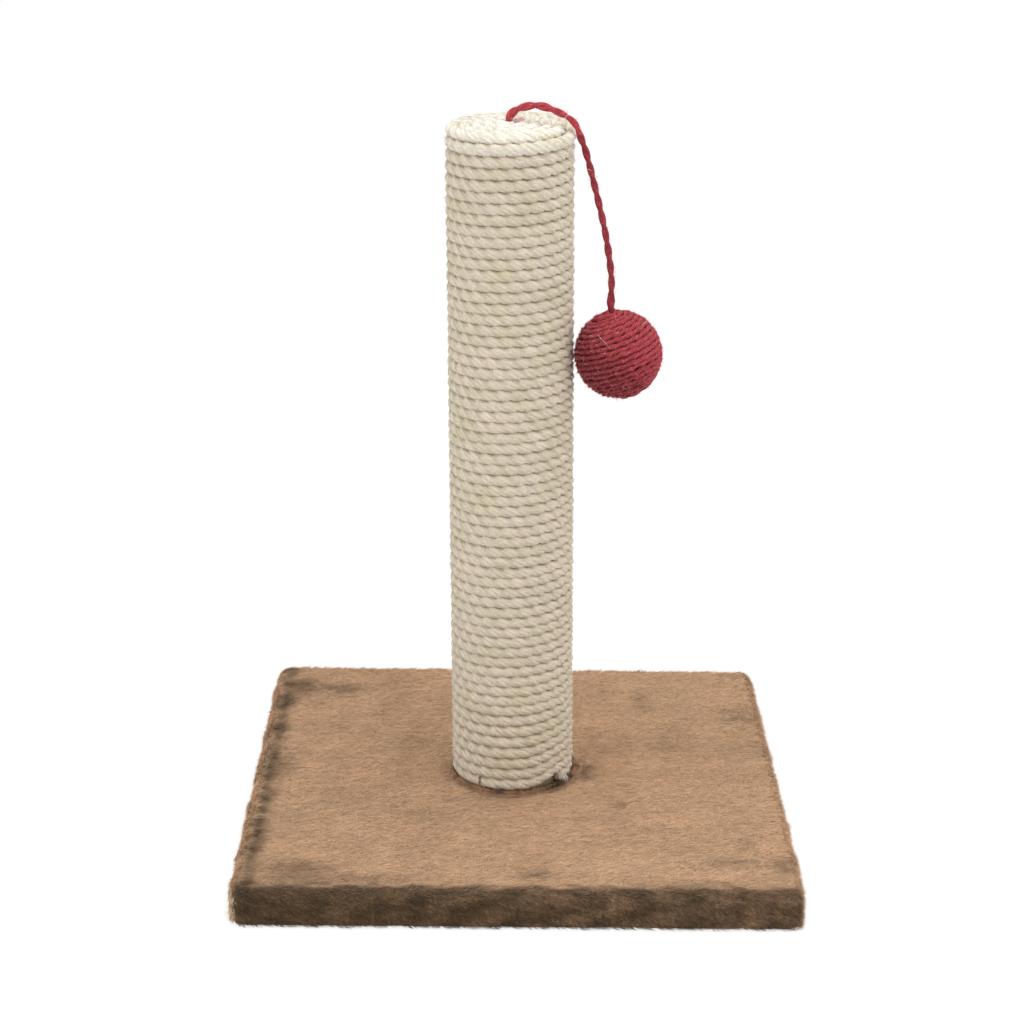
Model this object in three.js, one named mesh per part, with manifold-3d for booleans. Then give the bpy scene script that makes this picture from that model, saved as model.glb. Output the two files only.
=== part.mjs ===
// A cat scratching post, in millimetres, with +Z up and the origin under the middle of its base.
//
// A square board wears a plush cover that is stapled under its edges. A cardboard tube stands on the plush, held by
// one bolt from below into a tee nut in its wooden foot plug. Sisal rope winds up the tube in 61 turns, climbs over
// its top and spirals inwards to a small hole. A red cord is knotted under the top plug, comes up through that hole,
// crosses the top and hangs over the rim with a ball on its end that is wound with the same cord.
import * as THREE from "three";
import { mergeVertices } from "three/addons/utils/BufferGeometryUtils.js";
import Module from "manifold-3d";

const wasm = await Module();
wasm.setup();

const TURN = 2 * Math.PI;
const degrees = THREE.MathUtils.degToRad;

// ---------------------------------------------------------------- driving sizes

const ROUND = 24; // facets round a bolt, nut, washer or plug
const TUBE_FACETS = 36;
const SEAT_GAP = 0.3; // between pieces that press on each other on the real post
const CUT_PAST = 1; // how far a cutting solid reaches past the face that it opens

// Base
const BOARD_WIDTH = 310; // along X
const BOARD_DEPTH = 310; // along Y
const BOARD_THICKNESS = 16;
const BOARD_CORNER = 4; // radius of the board's corners
const PLUSH_TOP = 5.5; // backing and pile on top of the board
const PLUSH_SIDE = 4.5; // the same round its edges
const PLUSH_ROUNDING = 3; // radius of the soft edges
const HEM_THICKNESS = 3; // the plush folded under the board
const HEM_WIDTH = 30;
const HEM_MITRE = 0.8; // slit where two flaps of the hem meet at a corner
const CRUSHED_PLUSH = 3; // what is left of the plush under the post
const FOOT_CLEARANCE = 0.6; // from the rope's foot to the pile that stands round it

// Staples under the base
const STAPLES_PER_SIDE = 5;
const STAPLE_FROM_CORNER = 31; // from the board's corner to the middle of the first and the last of a side
const STAPLE_CROWN = 10; // length of the crown, outside its legs
const STAPLE_LEG = 8; // from the crown's face to the points
const STAPLE_WIRE = 1.2; // width of the flat wire
const STAPLE_THICKNESS = 0.7;
const STAPLE_INSET = 13; // from the board's edge to the row of staples
const STAPLE_SUNK = 0.5; // how deep the crowns lie in the pile

// Post
const TUBE_RADIUS = 30;
const TUBE_WALL = 5;
const POST_HEIGHT = 392.6; // length of the cardboard tube
const PLUG_CHAMFER = 1.5;
const FOOT_PLUG_THICKNESS = 20;
const TOP_PLUG_THICKNESS = 12;

// Bolt, washer and tee nut
const BOLT_RADIUS = 4;
const BOLT_HEAD_RADIUS = 8;
const BOLT_HEAD_HEIGHT = 5;
const BOLT_SOCKET = 5; // across the flats of its hexagon
const BOLT_SOCKET_DEPTH = 3;
const BOLT_LENGTH = 36; // under the head
const BOLT_POINT = 1; // chamfer at its end
const WASHER_RADIUS = 12;
const WASHER_THICKNESS = 1.5;
const COUNTERBORE_RADIUS = 13;
const COUNTERBORE_DEPTH = 8;
const TEE_NUT_FLANGE_RADIUS = 10;
const TEE_NUT_FLANGE = 1.5;
const TEE_NUT_BARREL_WALL = 1;
const TEE_NUT_BARREL = 8.5;

// Sisal rope on the post
const ROPE_THICKNESS = 6.2; // measured outwards from the tube
const ROPE_WIDTH = 6.34; // of one turn; the tube's length gives 61 turns, as counted on the photographed side
const ROPE_GROOVE = 2.3; // depth of the groove between two turns
const ROPE_START_ANGLE = degrees(-35); // where its first end lies, at the front right
const ROPE_FLAT_SHARE = 0.88; // of the first turn, which lies flat on the plush before it climbs
const ROPE_SETTLING_TURNS = 8; // until the turns run as an even helix
const ROPE_STEPS = 18; // facets round the post

// Sisal rope on the top
const SPIRAL_ROPE = 5.85; // diameter
const SPIRAL_PITCH = 6.5; // from one loop to the next
const SPIRAL_CLIMB = 0.22; // of a turn, in which it comes up over the tube's edge
const SPIRAL_OVERHANG = 2.8; // of its middle line past the tube's face where it follows the rim
const SPIRAL_RIM_TURN = 0.37; // of a turn, where it follows the rim best
const SPIRAL_UNEVENNESS = 0.6; // 0 runs inwards evenly, and 1 stands still once a turn
const SPIRAL_LAST_RADIUS = 7.2; // where the last straight bit begins
const SPIRAL_END_TURN = degrees(38); // how far that bit turns inwards
const SPIRAL_STEPS = 20; // facets round a loop
const SPIRAL_SIDES = 6;

// Staple that holds the rope's first turn
const FOOT_STAPLE_ANGLE = degrees(-123);
const FOOT_STAPLE_CROWN = 5.2;
const FOOT_STAPLE_LEG = 9.5;
const FOOT_STAPLE_LIFT = 4; // above the rope's lowest edge, so that the crown stands over the first groove
const FOOT_STAPLE_SUNK = 0.1; // below the rope's crest

// Red cord and ball
const CORD = 3.2; // diameter
const CORD_SIDES = 8;
const CORD_HOLE = 4.8; // diameter of the hole in the top plug
const KNOT_RADIUS = 4.3;
const KNOT_HEIGHT = 8;
const BALL_RADIUS = 25.1;
const BALL_LOOP_WIDTH = 3.7; // at least, from one loop to the next
const BALL_CORD = 3; // diameter of the cord where it is wound and pressed
const BALL_FIRST_LOOP = 3.7; // radius of the loops at both ends
const BALL_STEPS = 16; // facets round a loop
const BALL_SIDES = 5;
const BALL_STUB = 3.2; // straight end that meets the hanging cord
const BALL_SOCKET_DEPTH = 4; // hole in the core for the winding's last end
const BALL_TILT = degrees(9); // of the line through its two ends
const TOY_ANGLE = degrees(-8); // of the side on which it hangs

// The ball's middle and the cord's route, as [distance from the post's axis, height above the tube's top]. The first
// list runs up through the hole and over the top to the rim, and the second hangs from the rim to the ball.
const BALL_CENTRE = [62.4, -125.9];
const RIM_POINT = [39.6, 0.3];
const CORD_OVER_TOP = [
  [0, -5.9], [0, -0.9], [-0.2, 3.6], [-0.5, 7.3], [0.5, 10.9], [3.4, 13.5], [8.1, 15.4], [13, 16.4],
  [18.1, 16.1], [23.1, 14.7], [28.4, 12.5], [33.2, 10], [37.1, 6.3],
];
const CORD_TO_BALL = [
  [42.5, -7.3], [44.8, -15.3], [46.9, -23.5], [49.1, -32.3], [51.4, -41.7], [53.8, -52.3], [55.8, -63.3],
  [57.4, -74.3], [58.2, -84.5], [58, -91.5],
];

// ---------------------------------------------------------------- sizes worked out from those

const BOARD_BOTTOM = HEM_THICKNESS;
const BOARD_TOP = BOARD_BOTTOM + BOARD_THICKNESS;
const PLUSH_HEIGHT = BOARD_TOP + PLUSH_TOP;
const POST_SEAT = BOARD_TOP + CRUSHED_PLUSH;
const POST_BOTTOM = POST_SEAT + SEAT_GAP;
const TUBE_TOP = POST_BOTTOM + POST_HEIGHT;
const TUBE_BORE = TUBE_RADIUS - TUBE_WALL;
const PLUG_RADIUS = TUBE_BORE - SEAT_GAP;
const ROPE_BORE = TUBE_RADIUS + SEAT_GAP;
const ROPE_RADIUS = ROPE_BORE + ROPE_THICKNESS;
const ROPE_TURNS = Math.round(POST_HEIGHT / ROPE_WIDTH) - 1; // above the first turn's lower edge lies one width more
const ROPE_PITCH = (POST_HEIGHT + SEAT_GAP) / (ROPE_TURNS + 1);
const WASHER_TOP = BOARD_BOTTOM + COUNTERBORE_DEPTH;
const BOLT_SEAT = WASHER_TOP - WASHER_THICKNESS;
const BOLT_HOLE = BOLT_RADIUS + SEAT_GAP;
const TEE_NUT_SEAT = POST_BOTTOM + FOOT_PLUG_THICKNESS;
const TEE_NUT_RADIUS = BOLT_HOLE + TEE_NUT_BARREL_WALL;
const CORD_RADIUS = CORD / 2;
const PIVOT_GAP = CORD_RADIUS + SEAT_GAP;
const PLUG_UNDERSIDE = TUBE_TOP - TOP_PLUG_THICKNESS;
const WINDING_RADIUS = BALL_RADIUS - BALL_CORD / 2; // of the winding's middle line
const BALL_FIRST_ANGLE = Math.asin(BALL_FIRST_LOOP / WINDING_RADIUS); // from the pole to the first loop
const BALL_LOOPS = Math.floor(((Math.PI - 2 * BALL_FIRST_ANGLE) * WINDING_RADIUS) / BALL_LOOP_WIDTH);
const CORE_RADIUS = WINDING_RADIUS * Math.cos(TURN / (2 * BALL_STEPS)) - BALL_CORD / 2 - SEAT_GAP;

// ---------------------------------------------------------------- materials

const finish = (color, roughness, metalness = 0) => new THREE.MeshStandardMaterial({ color, roughness, metalness });
const FIBREBOARD = finish(0xa98560, 0.85);
const PLUSH = finish(0x8a6646, 1);
const CARDBOARD = finish(0xa58a66, 0.9);
const SOFTWOOD = finish(0xc9a877, 0.8);
const SISAL = finish(0xe0d6bd, 0.95);
const RED_CORD = finish(0xa5283a, 0.9);
const ZINC = finish(0xb8bcc0, 0.35, 1);
const PRESSED_PAPER = finish(0xb8a88e, 0.95);

// ---------------------------------------------------------------- shaping tools

const smooth = (x) => THREE.MathUtils.smoothstep(x, 0, 1);
const inPlane = ([distance, height]) => new THREE.Vector3(distance, 0, TUBE_TOP + height);

/** Only the positions of a geometry, with the vertices that coincide shared. */
function shared(geometry) {
  const bare = geometry.clone();
  bare.deleteAttribute("normal");
  bare.deleteAttribute("uv");
  return mergeVertices(bare, 1e-4);
}

/** A geometry as a solid that can be cut and joined. */
function solid(geometry) {
  const { attributes, index } = shared(geometry);
  return new wasm.Manifold(new wasm.Mesh({
    numProp: 3,
    vertProperties: new Float32Array(attributes.position.array),
    triVerts: new Uint32Array(index.array),
  }));
}

/** A solid as a geometry. */
function geometryOf(made) {
  const { vertProperties, triVerts } = made.getMesh();
  const geometry = new THREE.BufferGeometry();
  geometry.setAttribute("position", new THREE.BufferAttribute(vertProperties, 3));
  geometry.setIndex(new THREE.BufferAttribute(triVerts, 1));
  geometry.computeVertexNormals();
  return geometry;
}

/** A body with every cutter taken out of it. */
function cut(geometry, cutters) {
  return geometryOf(cutters.reduce((left, cutter) => left.subtract(solid(cutter)), solid(geometry)));
}

/** A profile of [radius, z] points turned round the Z axis. */
function turned(profile, segments) {
  const points = profile.map(([radius, z]) => new THREE.Vector2(radius, z));
  return new THREE.LatheGeometry(points, segments).rotateX(Math.PI / 2);
}

/** A ring with square edges. Its profile runs clockwise, so that the faces point outwards. */
function ring(inner, outer, low, high, segments) {
  return turned([[inner, low], [outer, low], [outer, high], [inner, high], [inner, low]], segments);
}

/** A plain round rod along Z. */
function rod(radius, low, high, segments) {
  return new THREE.CylinderGeometry(radius, radius, high - low, segments)
    .rotateX(Math.PI / 2)
    .translate(0, 0, (low + high) / 2);
}

/** A rectangle with round corners, in the XY plane. */
function roundedRectangle(width, depth, radius) {
  const x = width / 2 - radius;
  const y = depth / 2 - radius;
  const outline = new THREE.Shape();
  outline.absarc(x, y, radius, 0, TURN / 4);
  outline.absarc(-x, y, radius, TURN / 4, TURN / 2);
  outline.absarc(-x, -y, radius, TURN / 2, 0.75 * TURN);
  outline.absarc(x, -y, radius, 0.75 * TURN, TURN);
  return outline;
}

/** A slab with round corners and square edges, between two heights. */
function slab(width, depth, radius, low, high) {
  const options = { depth: high - low, bevelEnabled: false, curveSegments: 4 };
  return new THREE.ExtrudeGeometry(roundedRectangle(width, depth, radius), options).translate(0, 0, low);
}

/**
 * A staple with its crown along X and its legs along +Z. The crown's outer face is at z = 0. The allowance makes it
 * thicker on every side, for the slot that it sits in, and the slot also opens below the crown.
 */
function staple(crown, leg, allowance = 0) {
  const half = crown / 2 + allowance;
  const inner = crown / 2 - STAPLE_WIRE - allowance;
  const face = allowance ? -leg : 0;
  const under = STAPLE_THICKNESS + allowance;
  const outline = new THREE.Shape();
  outline.moveTo(-half, face);
  outline.lineTo(half, face);
  outline.lineTo(half, leg + allowance);
  outline.lineTo(inner, leg + allowance);
  outline.lineTo(inner, under);
  outline.lineTo(-inner, under);
  outline.lineTo(-inner, leg + allowance);
  outline.lineTo(-half, leg + allowance);
  outline.closePath();
  const width = STAPLE_WIRE + 2 * allowance;
  return new THREE.ExtrudeGeometry(outline, { depth: width, bevelEnabled: false })
    .translate(0, 0, -width / 2)
    .rotateX(Math.PI / 2);
}

/** Least distance of a tube's points from its stretches that lie over half a loop further on, less its diameter. */
function leastGap(points, diameter, stepsPerLoop) {
  const nearest = new THREE.Vector3();
  let least = Infinity;
  points.forEach((point, i) => {
    for (let j = i + 1 + stepsPerLoop / 2; j + 1 < points.length; j++) {
      new THREE.Line3(points[j], points[j + 1]).closestPointToPoint(point, true, nearest);
      least = Math.min(least, nearest.distanceTo(point));
    }
    for (let j = i - 1 - stepsPerLoop / 2; j > 0; j--) {
      new THREE.Line3(points[j], points[j - 1]).closestPointToPoint(point, true, nearest);
      least = Math.min(least, nearest.distanceTo(point));
    }
  });
  return least - diameter;
}

/**
 * An unbroken tube along points, closed at both ends. Each ring is turned from the one before it by the least
 * rotation that follows the path.
 */
function tube(points, radius, sides) {
  const last = points.length - 1;
  const tangents = points.map((_, i) =>
    points[Math.min(i + 1, last)].clone().sub(points[Math.max(i - 1, 0)]).normalize());
  const start = Math.abs(tangents[0].z) > 0.9 ? new THREE.Vector3(1, 0, 0) : new THREE.Vector3(0, 0, 1);
  let side = start.addScaledVector(tangents[0], -start.dot(tangents[0])).normalize();
  const vertices = [];
  points.forEach((point, i) => {
    if (i) {
      const turn = new THREE.Quaternion().setFromUnitVectors(tangents[i - 1], tangents[i]);
      side = side.clone().applyQuaternion(turn);
    }
    const other = tangents[i].clone().cross(side);
    for (let k = 0; k < sides; k++) {
      const angle = (TURN * (k + 0.5)) / sides;
      vertices.push(point.clone()
        .addScaledVector(side, radius * Math.cos(angle))
        .addScaledVector(other, radius * Math.sin(angle)));
    }
  });
  const faces = [];
  for (let i = 0; i < last; i++) {
    for (let k = 0; k < sides; k++) {
      const a = i * sides + k;
      const b = i * sides + ((k + 1) % sides);
      faces.push(a, b, b + sides, a, b + sides, a + sides);
    }
  }
  for (let k = 1; k < sides - 1; k++) {
    faces.push(0, k + 1, k);
    faces.push(last * sides, last * sides + k, last * sides + k + 1);
  }
  return new THREE.BufferGeometry().setFromPoints(vertices).setIndex(faces);
}

/** A length of cord along a route, with flat ends square to it. */
function cordAlong(route, steps) {
  const section = new THREE.Shape();
  section.absarc(0, 0, CORD_RADIUS, 0, TURN);
  return new THREE.ExtrudeGeometry(section, {
    extrudePath: new THREE.CatmullRomCurve3(route, false, "centripetal"),
    steps,
    curveSegments: CORD_SIDES / 2,
    bevelEnabled: false,
  });
}

// ---------------------------------------------------------------- the base

/** Where each staple under the base stands: its middle, and how far it is turned about Z. */
function stapleSeats() {
  const sides = [
    { turn: 0, length: BOARD_WIDTH, out: BOARD_DEPTH / 2 },
    { turn: TURN / 4, length: BOARD_DEPTH, out: BOARD_WIDTH / 2 },
    { turn: TURN / 2, length: BOARD_WIDTH, out: BOARD_DEPTH / 2 },
    { turn: 0.75 * TURN, length: BOARD_DEPTH, out: BOARD_WIDTH / 2 },
  ];
  return sides.flatMap(({ turn, length, out }) =>
    Array.from({ length: STAPLES_PER_SIDE }, (_, i) => {
      const along = (i / (STAPLES_PER_SIDE - 1) - 0.5) * (length - 2 * STAPLE_FROM_CORNER);
      const middle = new THREE.Vector3(along, -(out - STAPLE_INSET), STAPLE_SUNK);
      return { turn, middle: middle.applyAxisAngle(new THREE.Vector3(0, 0, 1), turn) };
    }));
}

const STAPLE_SLOTS = stapleSeats().map(({ turn, middle }) =>
  staple(STAPLE_CROWN, STAPLE_LEG, SEAT_GAP).rotateZ(turn).translate(middle.x, middle.y, middle.z));

function baseBoard() {
  const board = slab(BOARD_WIDTH, BOARD_DEPTH, BOARD_CORNER, BOARD_BOTTOM, BOARD_TOP);
  return cut(board, [
    rod(BOLT_HOLE + SEAT_GAP, BOARD_BOTTOM, BOARD_TOP + CUT_PAST, ROUND),
    rod(COUNTERBORE_RADIUS, BOARD_BOTTOM - CUT_PAST, WASHER_TOP, ROUND),
    ...STAPLE_SLOTS,
  ]);
}

/** The plush as one sheet: top, four sides and a hem that is folded under, slit where its flaps meet. */
function plushCover() {
  const width = BOARD_WIDTH + 2 * PLUSH_SIDE;
  const depth = BOARD_DEPTH + 2 * PLUSH_SIDE;
  const corner = BOARD_CORNER + PLUSH_SIDE;
  const middle = roundedRectangle(width - 2 * PLUSH_ROUNDING, depth - 2 * PLUSH_ROUNDING, corner - PLUSH_ROUNDING);
  const outside = new THREE.ExtrudeGeometry(middle, {
    depth: PLUSH_HEIGHT - 2 * PLUSH_ROUNDING,
    bevelThickness: PLUSH_ROUNDING,
    bevelSize: PLUSH_ROUNDING,
    bevelSegments: 3,
    curveSegments: 4,
  }).translate(0, 0, PLUSH_ROUNDING);
  const pocket = slab(
    BOARD_WIDTH + 2 * SEAT_GAP, BOARD_DEPTH + 2 * SEAT_GAP, BOARD_CORNER + SEAT_GAP, BOARD_BOTTOM, BOARD_TOP);
  const openWidth = BOARD_WIDTH - 2 * (HEM_WIDTH - PLUSH_SIDE);
  const openDepth = BOARD_DEPTH - 2 * (HEM_WIDTH - PLUSH_SIDE);
  const opening = slab(openWidth, openDepth, BOARD_CORNER, -CUT_PAST, BOARD_BOTTOM + CUT_PAST);
  const mitres = [[1, 1], [-1, 1], [-1, -1], [1, -1]].map(([x, y]) =>
    new THREE.BoxGeometry(Math.SQRT2 * HEM_WIDTH, HEM_MITRE, HEM_THICKNESS + 2 * CUT_PAST)
      .rotateZ(Math.atan2(y, x))
      .translate(x * (openWidth + HEM_WIDTH - 2 * PLUSH_SIDE) / 2, y * (openDepth + HEM_WIDTH - 2 * PLUSH_SIDE) / 2,
        HEM_THICKNESS / 2));
  return cut(outside, [
    pocket,
    opening,
    ...mitres,
    rod(ROPE_RADIUS + FOOT_CLEARANCE, POST_SEAT, PLUSH_HEIGHT + CUT_PAST, TUBE_FACETS),
    rod(BOLT_HOLE + SEAT_GAP, BOARD_TOP - CUT_PAST, POST_SEAT + CUT_PAST, ROUND),
    ...STAPLE_SLOTS,
  ]);
}

// ---------------------------------------------------------------- bolt, washer and tee nut

/** A bolt with a domed head and a hexagon socket, standing on its head. */
function baseBolt() {
  const headBottom = BOLT_SEAT - BOLT_HEAD_HEIGHT;
  const top = BOLT_SEAT + BOLT_LENGTH;
  const dome = [0.75, 0.95, 1].map((share, i) => [BOLT_HEAD_RADIUS * share, headBottom + (i * BOLT_HEAD_HEIGHT) / 4]);
  const body = turned([
    [0, headBottom],
    ...dome,
    [BOLT_HEAD_RADIUS, BOLT_SEAT],
    [BOLT_RADIUS, BOLT_SEAT],
    [BOLT_RADIUS, top - BOLT_POINT],
    [BOLT_RADIUS - BOLT_POINT, top],
    [0, top],
  ], ROUND);
  const socket = rod(BOLT_SOCKET / Math.sqrt(3), headBottom - CUT_PAST, headBottom + BOLT_SOCKET_DEPTH, 6);
  return cut(body, [socket]);
}

/** A nut with a flange on the plug's inner face and a barrel down into the plug. */
function teeNut() {
  const flangeTop = TEE_NUT_SEAT + TEE_NUT_FLANGE;
  const barrelBottom = TEE_NUT_SEAT - TEE_NUT_BARREL;
  return turned([
    [BOLT_HOLE, barrelBottom],
    [TEE_NUT_RADIUS, barrelBottom],
    [TEE_NUT_RADIUS, TEE_NUT_SEAT],
    [TEE_NUT_FLANGE_RADIUS, TEE_NUT_SEAT],
    [TEE_NUT_FLANGE_RADIUS, flangeTop],
    [BOLT_HOLE, flangeTop],
    [BOLT_HOLE, barrelBottom],
  ], ROUND);
}

// ---------------------------------------------------------------- the post

/** A wooden disc with chamfered edges and a hole of one or two widths: [radius, up to which height]. */
function plug(low, high, holes) {
  const starts = [low, ...holes.map(([, end]) => end)];
  const wall = holes.flatMap(([radius, end], i) => [[radius, starts[i]], [radius, end]]);
  return turned([
    [PLUG_RADIUS - PLUG_CHAMFER, low],
    [PLUG_RADIUS, low + PLUG_CHAMFER],
    [PLUG_RADIUS, high - PLUG_CHAMFER],
    [PLUG_RADIUS - PLUG_CHAMFER, high],
    ...wall.reverse(),
    [PLUG_RADIUS - PLUG_CHAMFER, low],
  ], ROUND);
}

function footPlug() {
  const barrelBottom = TEE_NUT_SEAT - TEE_NUT_BARREL - SEAT_GAP;
  return plug(POST_BOTTOM, TEE_NUT_SEAT, [[BOLT_HOLE, barrelBottom], [TEE_NUT_RADIUS + SEAT_GAP, TEE_NUT_SEAT]]);
}

function topPlug() {
  return plug(PLUG_UNDERSIDE, TUBE_TOP, [[CORD_HOLE / 2, TUBE_TOP]]);
}

/** A staple through the rope's first turn into the tube, with its crown upright and sunk between the fibres. */
function footStaple(allowance) {
  const middle = POST_BOTTOM + FOOT_STAPLE_LIFT + FOOT_STAPLE_CROWN / 2;
  return staple(FOOT_STAPLE_CROWN, FOOT_STAPLE_LEG, allowance)
    .rotateY(-TURN / 4)
    .translate(ROPE_RADIUS - FOOT_STAPLE_SUNK, 0, middle)
    .rotateZ(FOOT_STAPLE_ANGLE);
}

function postTube() {
  return cut(ring(TUBE_BORE, TUBE_RADIUS, POST_BOTTOM, TUBE_TOP, TUBE_FACETS), [footStaple(SEAT_GAP)]);
}

/**
 * Height of the rope's lower edge after a number of turns. The first turn lies flat and climbs at its end, and over
 * the next few the climb spreads over the whole turn.
 */
function ropeEdge(turns) {
  const whole = Math.floor(turns + 1e-9);
  const part = Math.max(0, turns - whole);
  const flat = Math.max(0, 1 - turns / ROPE_SETTLING_TURNS);
  const late = smooth((part - ROPE_FLAT_SHARE) / (1 - ROPE_FLAT_SHARE));
  return POST_BOTTOM + ROPE_PITCH * (whole + (1 - flat) * part + flat * late);
}

/**
 * The rope on the tube as one sleeve. Its outside is a helical ridge, a groove and a crest for each turn, and both
 * of its end faces are level rings with a step where the rope's cut end shows.
 */
function postRope() {
  const n = ROPE_STEPS;
  const groove = ROPE_RADIUS - ROPE_GROOVE;
  const inside = ROPE_BORE / 2; // taken out again by the bore
  const vertices = [];
  const at = (turns, radius, z) => {
    const angle = ROPE_START_ANGLE + TURN * turns;
    return vertices.push(new THREE.Vector3(radius * Math.cos(angle), radius * Math.sin(angle), z)) - 1;
  };
  const steps = ROPE_TURNS * n;
  const grooves = Array.from({ length: steps + n + 1 }, (_, i) => at(i / n, groove, ropeEdge(i / n)));
  const crests = Array.from({ length: steps + 1 }, (_, i) =>
    at(i / n, ROPE_RADIUS, (ropeEdge(i / n) + ropeEdge(i / n + 1)) / 2));
  const faces = [];
  const quad = (a, b, c, d) => faces.push(a, b, c, a, c, d);
  for (let i = 0; i < steps; i++) {
    quad(grooves[i], grooves[i + 1], crests[i + 1], crests[i]);
    quad(crests[i], crests[i + 1], grooves[i + n + 1], grooves[i + n]);
  }
  // Each end is a level ring inside the edge, closed by a fan, and the step between its two heights.
  const end = (first, up) => {
    const rim = Array.from({ length: n + 1 }, (_, i) => at(first + i / n, inside, ropeEdge(first + i / n)));
    const hub = vertices.push(new THREE.Vector3(0, 0, ropeEdge(first))) - 1;
    const edge = grooves.slice(first * n, first * n + n + 1);
    for (let i = 0; i < n; i++) {
      if (up) {
        quad(edge[i], edge[i + 1], rim[i + 1], rim[i]);
        faces.push(rim[i], rim[i + 1], hub);
      } else {
        quad(edge[i + 1], edge[i], rim[i], rim[i + 1]);
        faces.push(rim[i + 1], rim[i], hub);
      }
    }
    const crest = crests[first * n];
    const step = [hub, rim[n], rim[0], rim[n], edge[0], rim[0], rim[n], edge[n], edge[0], edge[n], crest, edge[0]];
    faces.push(...(up ? step : step.reverse()));
  };
  end(0, false);
  end(ROPE_TURNS, true);
  const sleeve = new THREE.BufferGeometry().setFromPoints(vertices).setIndex(faces);
  const bore = ROPE_BORE / Math.cos(Math.PI / TUBE_FACETS); // so that its facets clear the tube
  return cut(sleeve, [
    rod(bore, POST_BOTTOM - ROPE_PITCH, TUBE_TOP + 2 * ROPE_PITCH, TUBE_FACETS),
    footStaple(SEAT_GAP),
  ]);
}

/** The rope's way from the winding's upper end, up over the tube's edge and in to the cord's hole. */
function spiralPath() {
  const endAngle = ROPE_START_ANGLE; // the winding has whole turns
  const sideRadius = (ROPE_BORE + ROPE_RADIUS) / 2;
  const sideHeight = (ropeEdge(ROPE_TURNS) + ropeEdge(ROPE_TURNS + 1)) / 2;
  const topHeight = TUBE_TOP + SEAT_GAP + SPIRAL_ROPE / 2;
  const radial = new THREE.Vector3(Math.cos(endAngle), Math.sin(endAngle), 0);
  const along = new THREE.Vector3(-radial.y, radial.x, 0);
  const first = radial.clone().multiplyScalar(sideRadius).setZ(sideHeight).addScaledVector(along, SEAT_GAP);
  const path = [first, first.clone().addScaledVector(along, SPIRAL_ROPE)];
  const straightTurns = Math.atan((SEAT_GAP + SPIRAL_ROPE) / sideRadius) / TURN;
  const widest = Math.hypot(sideRadius, SEAT_GAP + SPIRAL_ROPE);
  const radiusAt = (turns) => {
    const past = turns - SPIRAL_RIM_TURN;
    const inwards = past - (SPIRAL_UNEVENNESS / TURN) * Math.sin(TURN * past);
    return Math.min(widest, TUBE_RADIUS + SPIRAL_OVERHANG - SPIRAL_PITCH * inwards);
  };
  let turns = straightTurns + 1 / SPIRAL_STEPS;
  while (radiusAt(turns) > SPIRAL_LAST_RADIUS) {
    const radius = radiusAt(turns);
    const angle = endAngle + TURN * turns;
    const climbed = smooth((turns - straightTurns) / (SPIRAL_CLIMB - straightTurns));
    const z = sideHeight + (topHeight - sideHeight) * climbed;
    path.push(new THREE.Vector3(radius * Math.cos(angle), radius * Math.sin(angle), z));
    turns += 1 / SPIRAL_STEPS;
  }
  const last = path.at(-1);
  const inwards = Math.atan2(last.y, last.x) + TURN / 4 + SPIRAL_END_TURN;
  path.push(last.clone().add(new THREE.Vector3(Math.cos(inwards), Math.sin(inwards), 0).multiplyScalar(SPIRAL_ROPE)));
  return path;
}

function topRopeSpiral() {
  const path = spiralPath();
  const loops = path.length / SPIRAL_STEPS;
  const gap = leastGap(path, SPIRAL_ROPE, SPIRAL_STEPS);
  console.log(`top_rope_spiral: ${loops.toFixed(1)} loops, least gap to itself ${gap.toFixed(2)} mm`);
  return tube(path, SPIRAL_ROPE / 2, SPIRAL_SIDES);
}

// ---------------------------------------------------------------- the toy: cord and ball

const PIVOT = inPlane(RIM_POINT);
const BALL_MIDDLE = inPlane(BALL_CENTRE);
const BALL_AXIS = new THREE.Vector3(-Math.sin(BALL_TILT), 0, Math.cos(BALL_TILT));

/** A point beyond the pivot, or short of it, towards another point of the route. */
const besidePivot = (towards) => PIVOT.clone().add(inPlane(towards).sub(PIVOT).setLength(PIVOT_GAP));

function cordKnot() {
  const middle = PLUG_UNDERSIDE - SEAT_GAP - KNOT_HEIGHT / 2;
  return new THREE.SphereGeometry(1, 10, 8)
    .rotateX(Math.PI / 2)
    .scale(KNOT_RADIUS, KNOT_RADIUS, KNOT_HEIGHT / 2)
    .translate(0, 0, middle);
}

function cordOverTop() {
  const start = new THREE.Vector3(0, 0, PLUG_UNDERSIDE);
  return cordAlong([start, ...CORD_OVER_TOP.map(inPlane), besidePivot(CORD_OVER_TOP.at(-1))], 20);
}

function cordToBall() {
  const end = BALL_MIDDLE.clone().addScaledVector(BALL_AXIS, BALL_RADIUS + BALL_STUB + SEAT_GAP);
  const before = end.clone().addScaledVector(BALL_AXIS, CORD);
  return cordAlong([besidePivot(CORD_TO_BALL[0]), ...CORD_TO_BALL.map(inPlane), before, end], 18);
}

/** The bit of cord on the rim that bends both ways. */
function cordBend() {
  return new THREE.SphereGeometry(CORD_RADIUS, 8, 6).translate(PIVOT.x, PIVOT.y, PIVOT.z);
}

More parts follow.
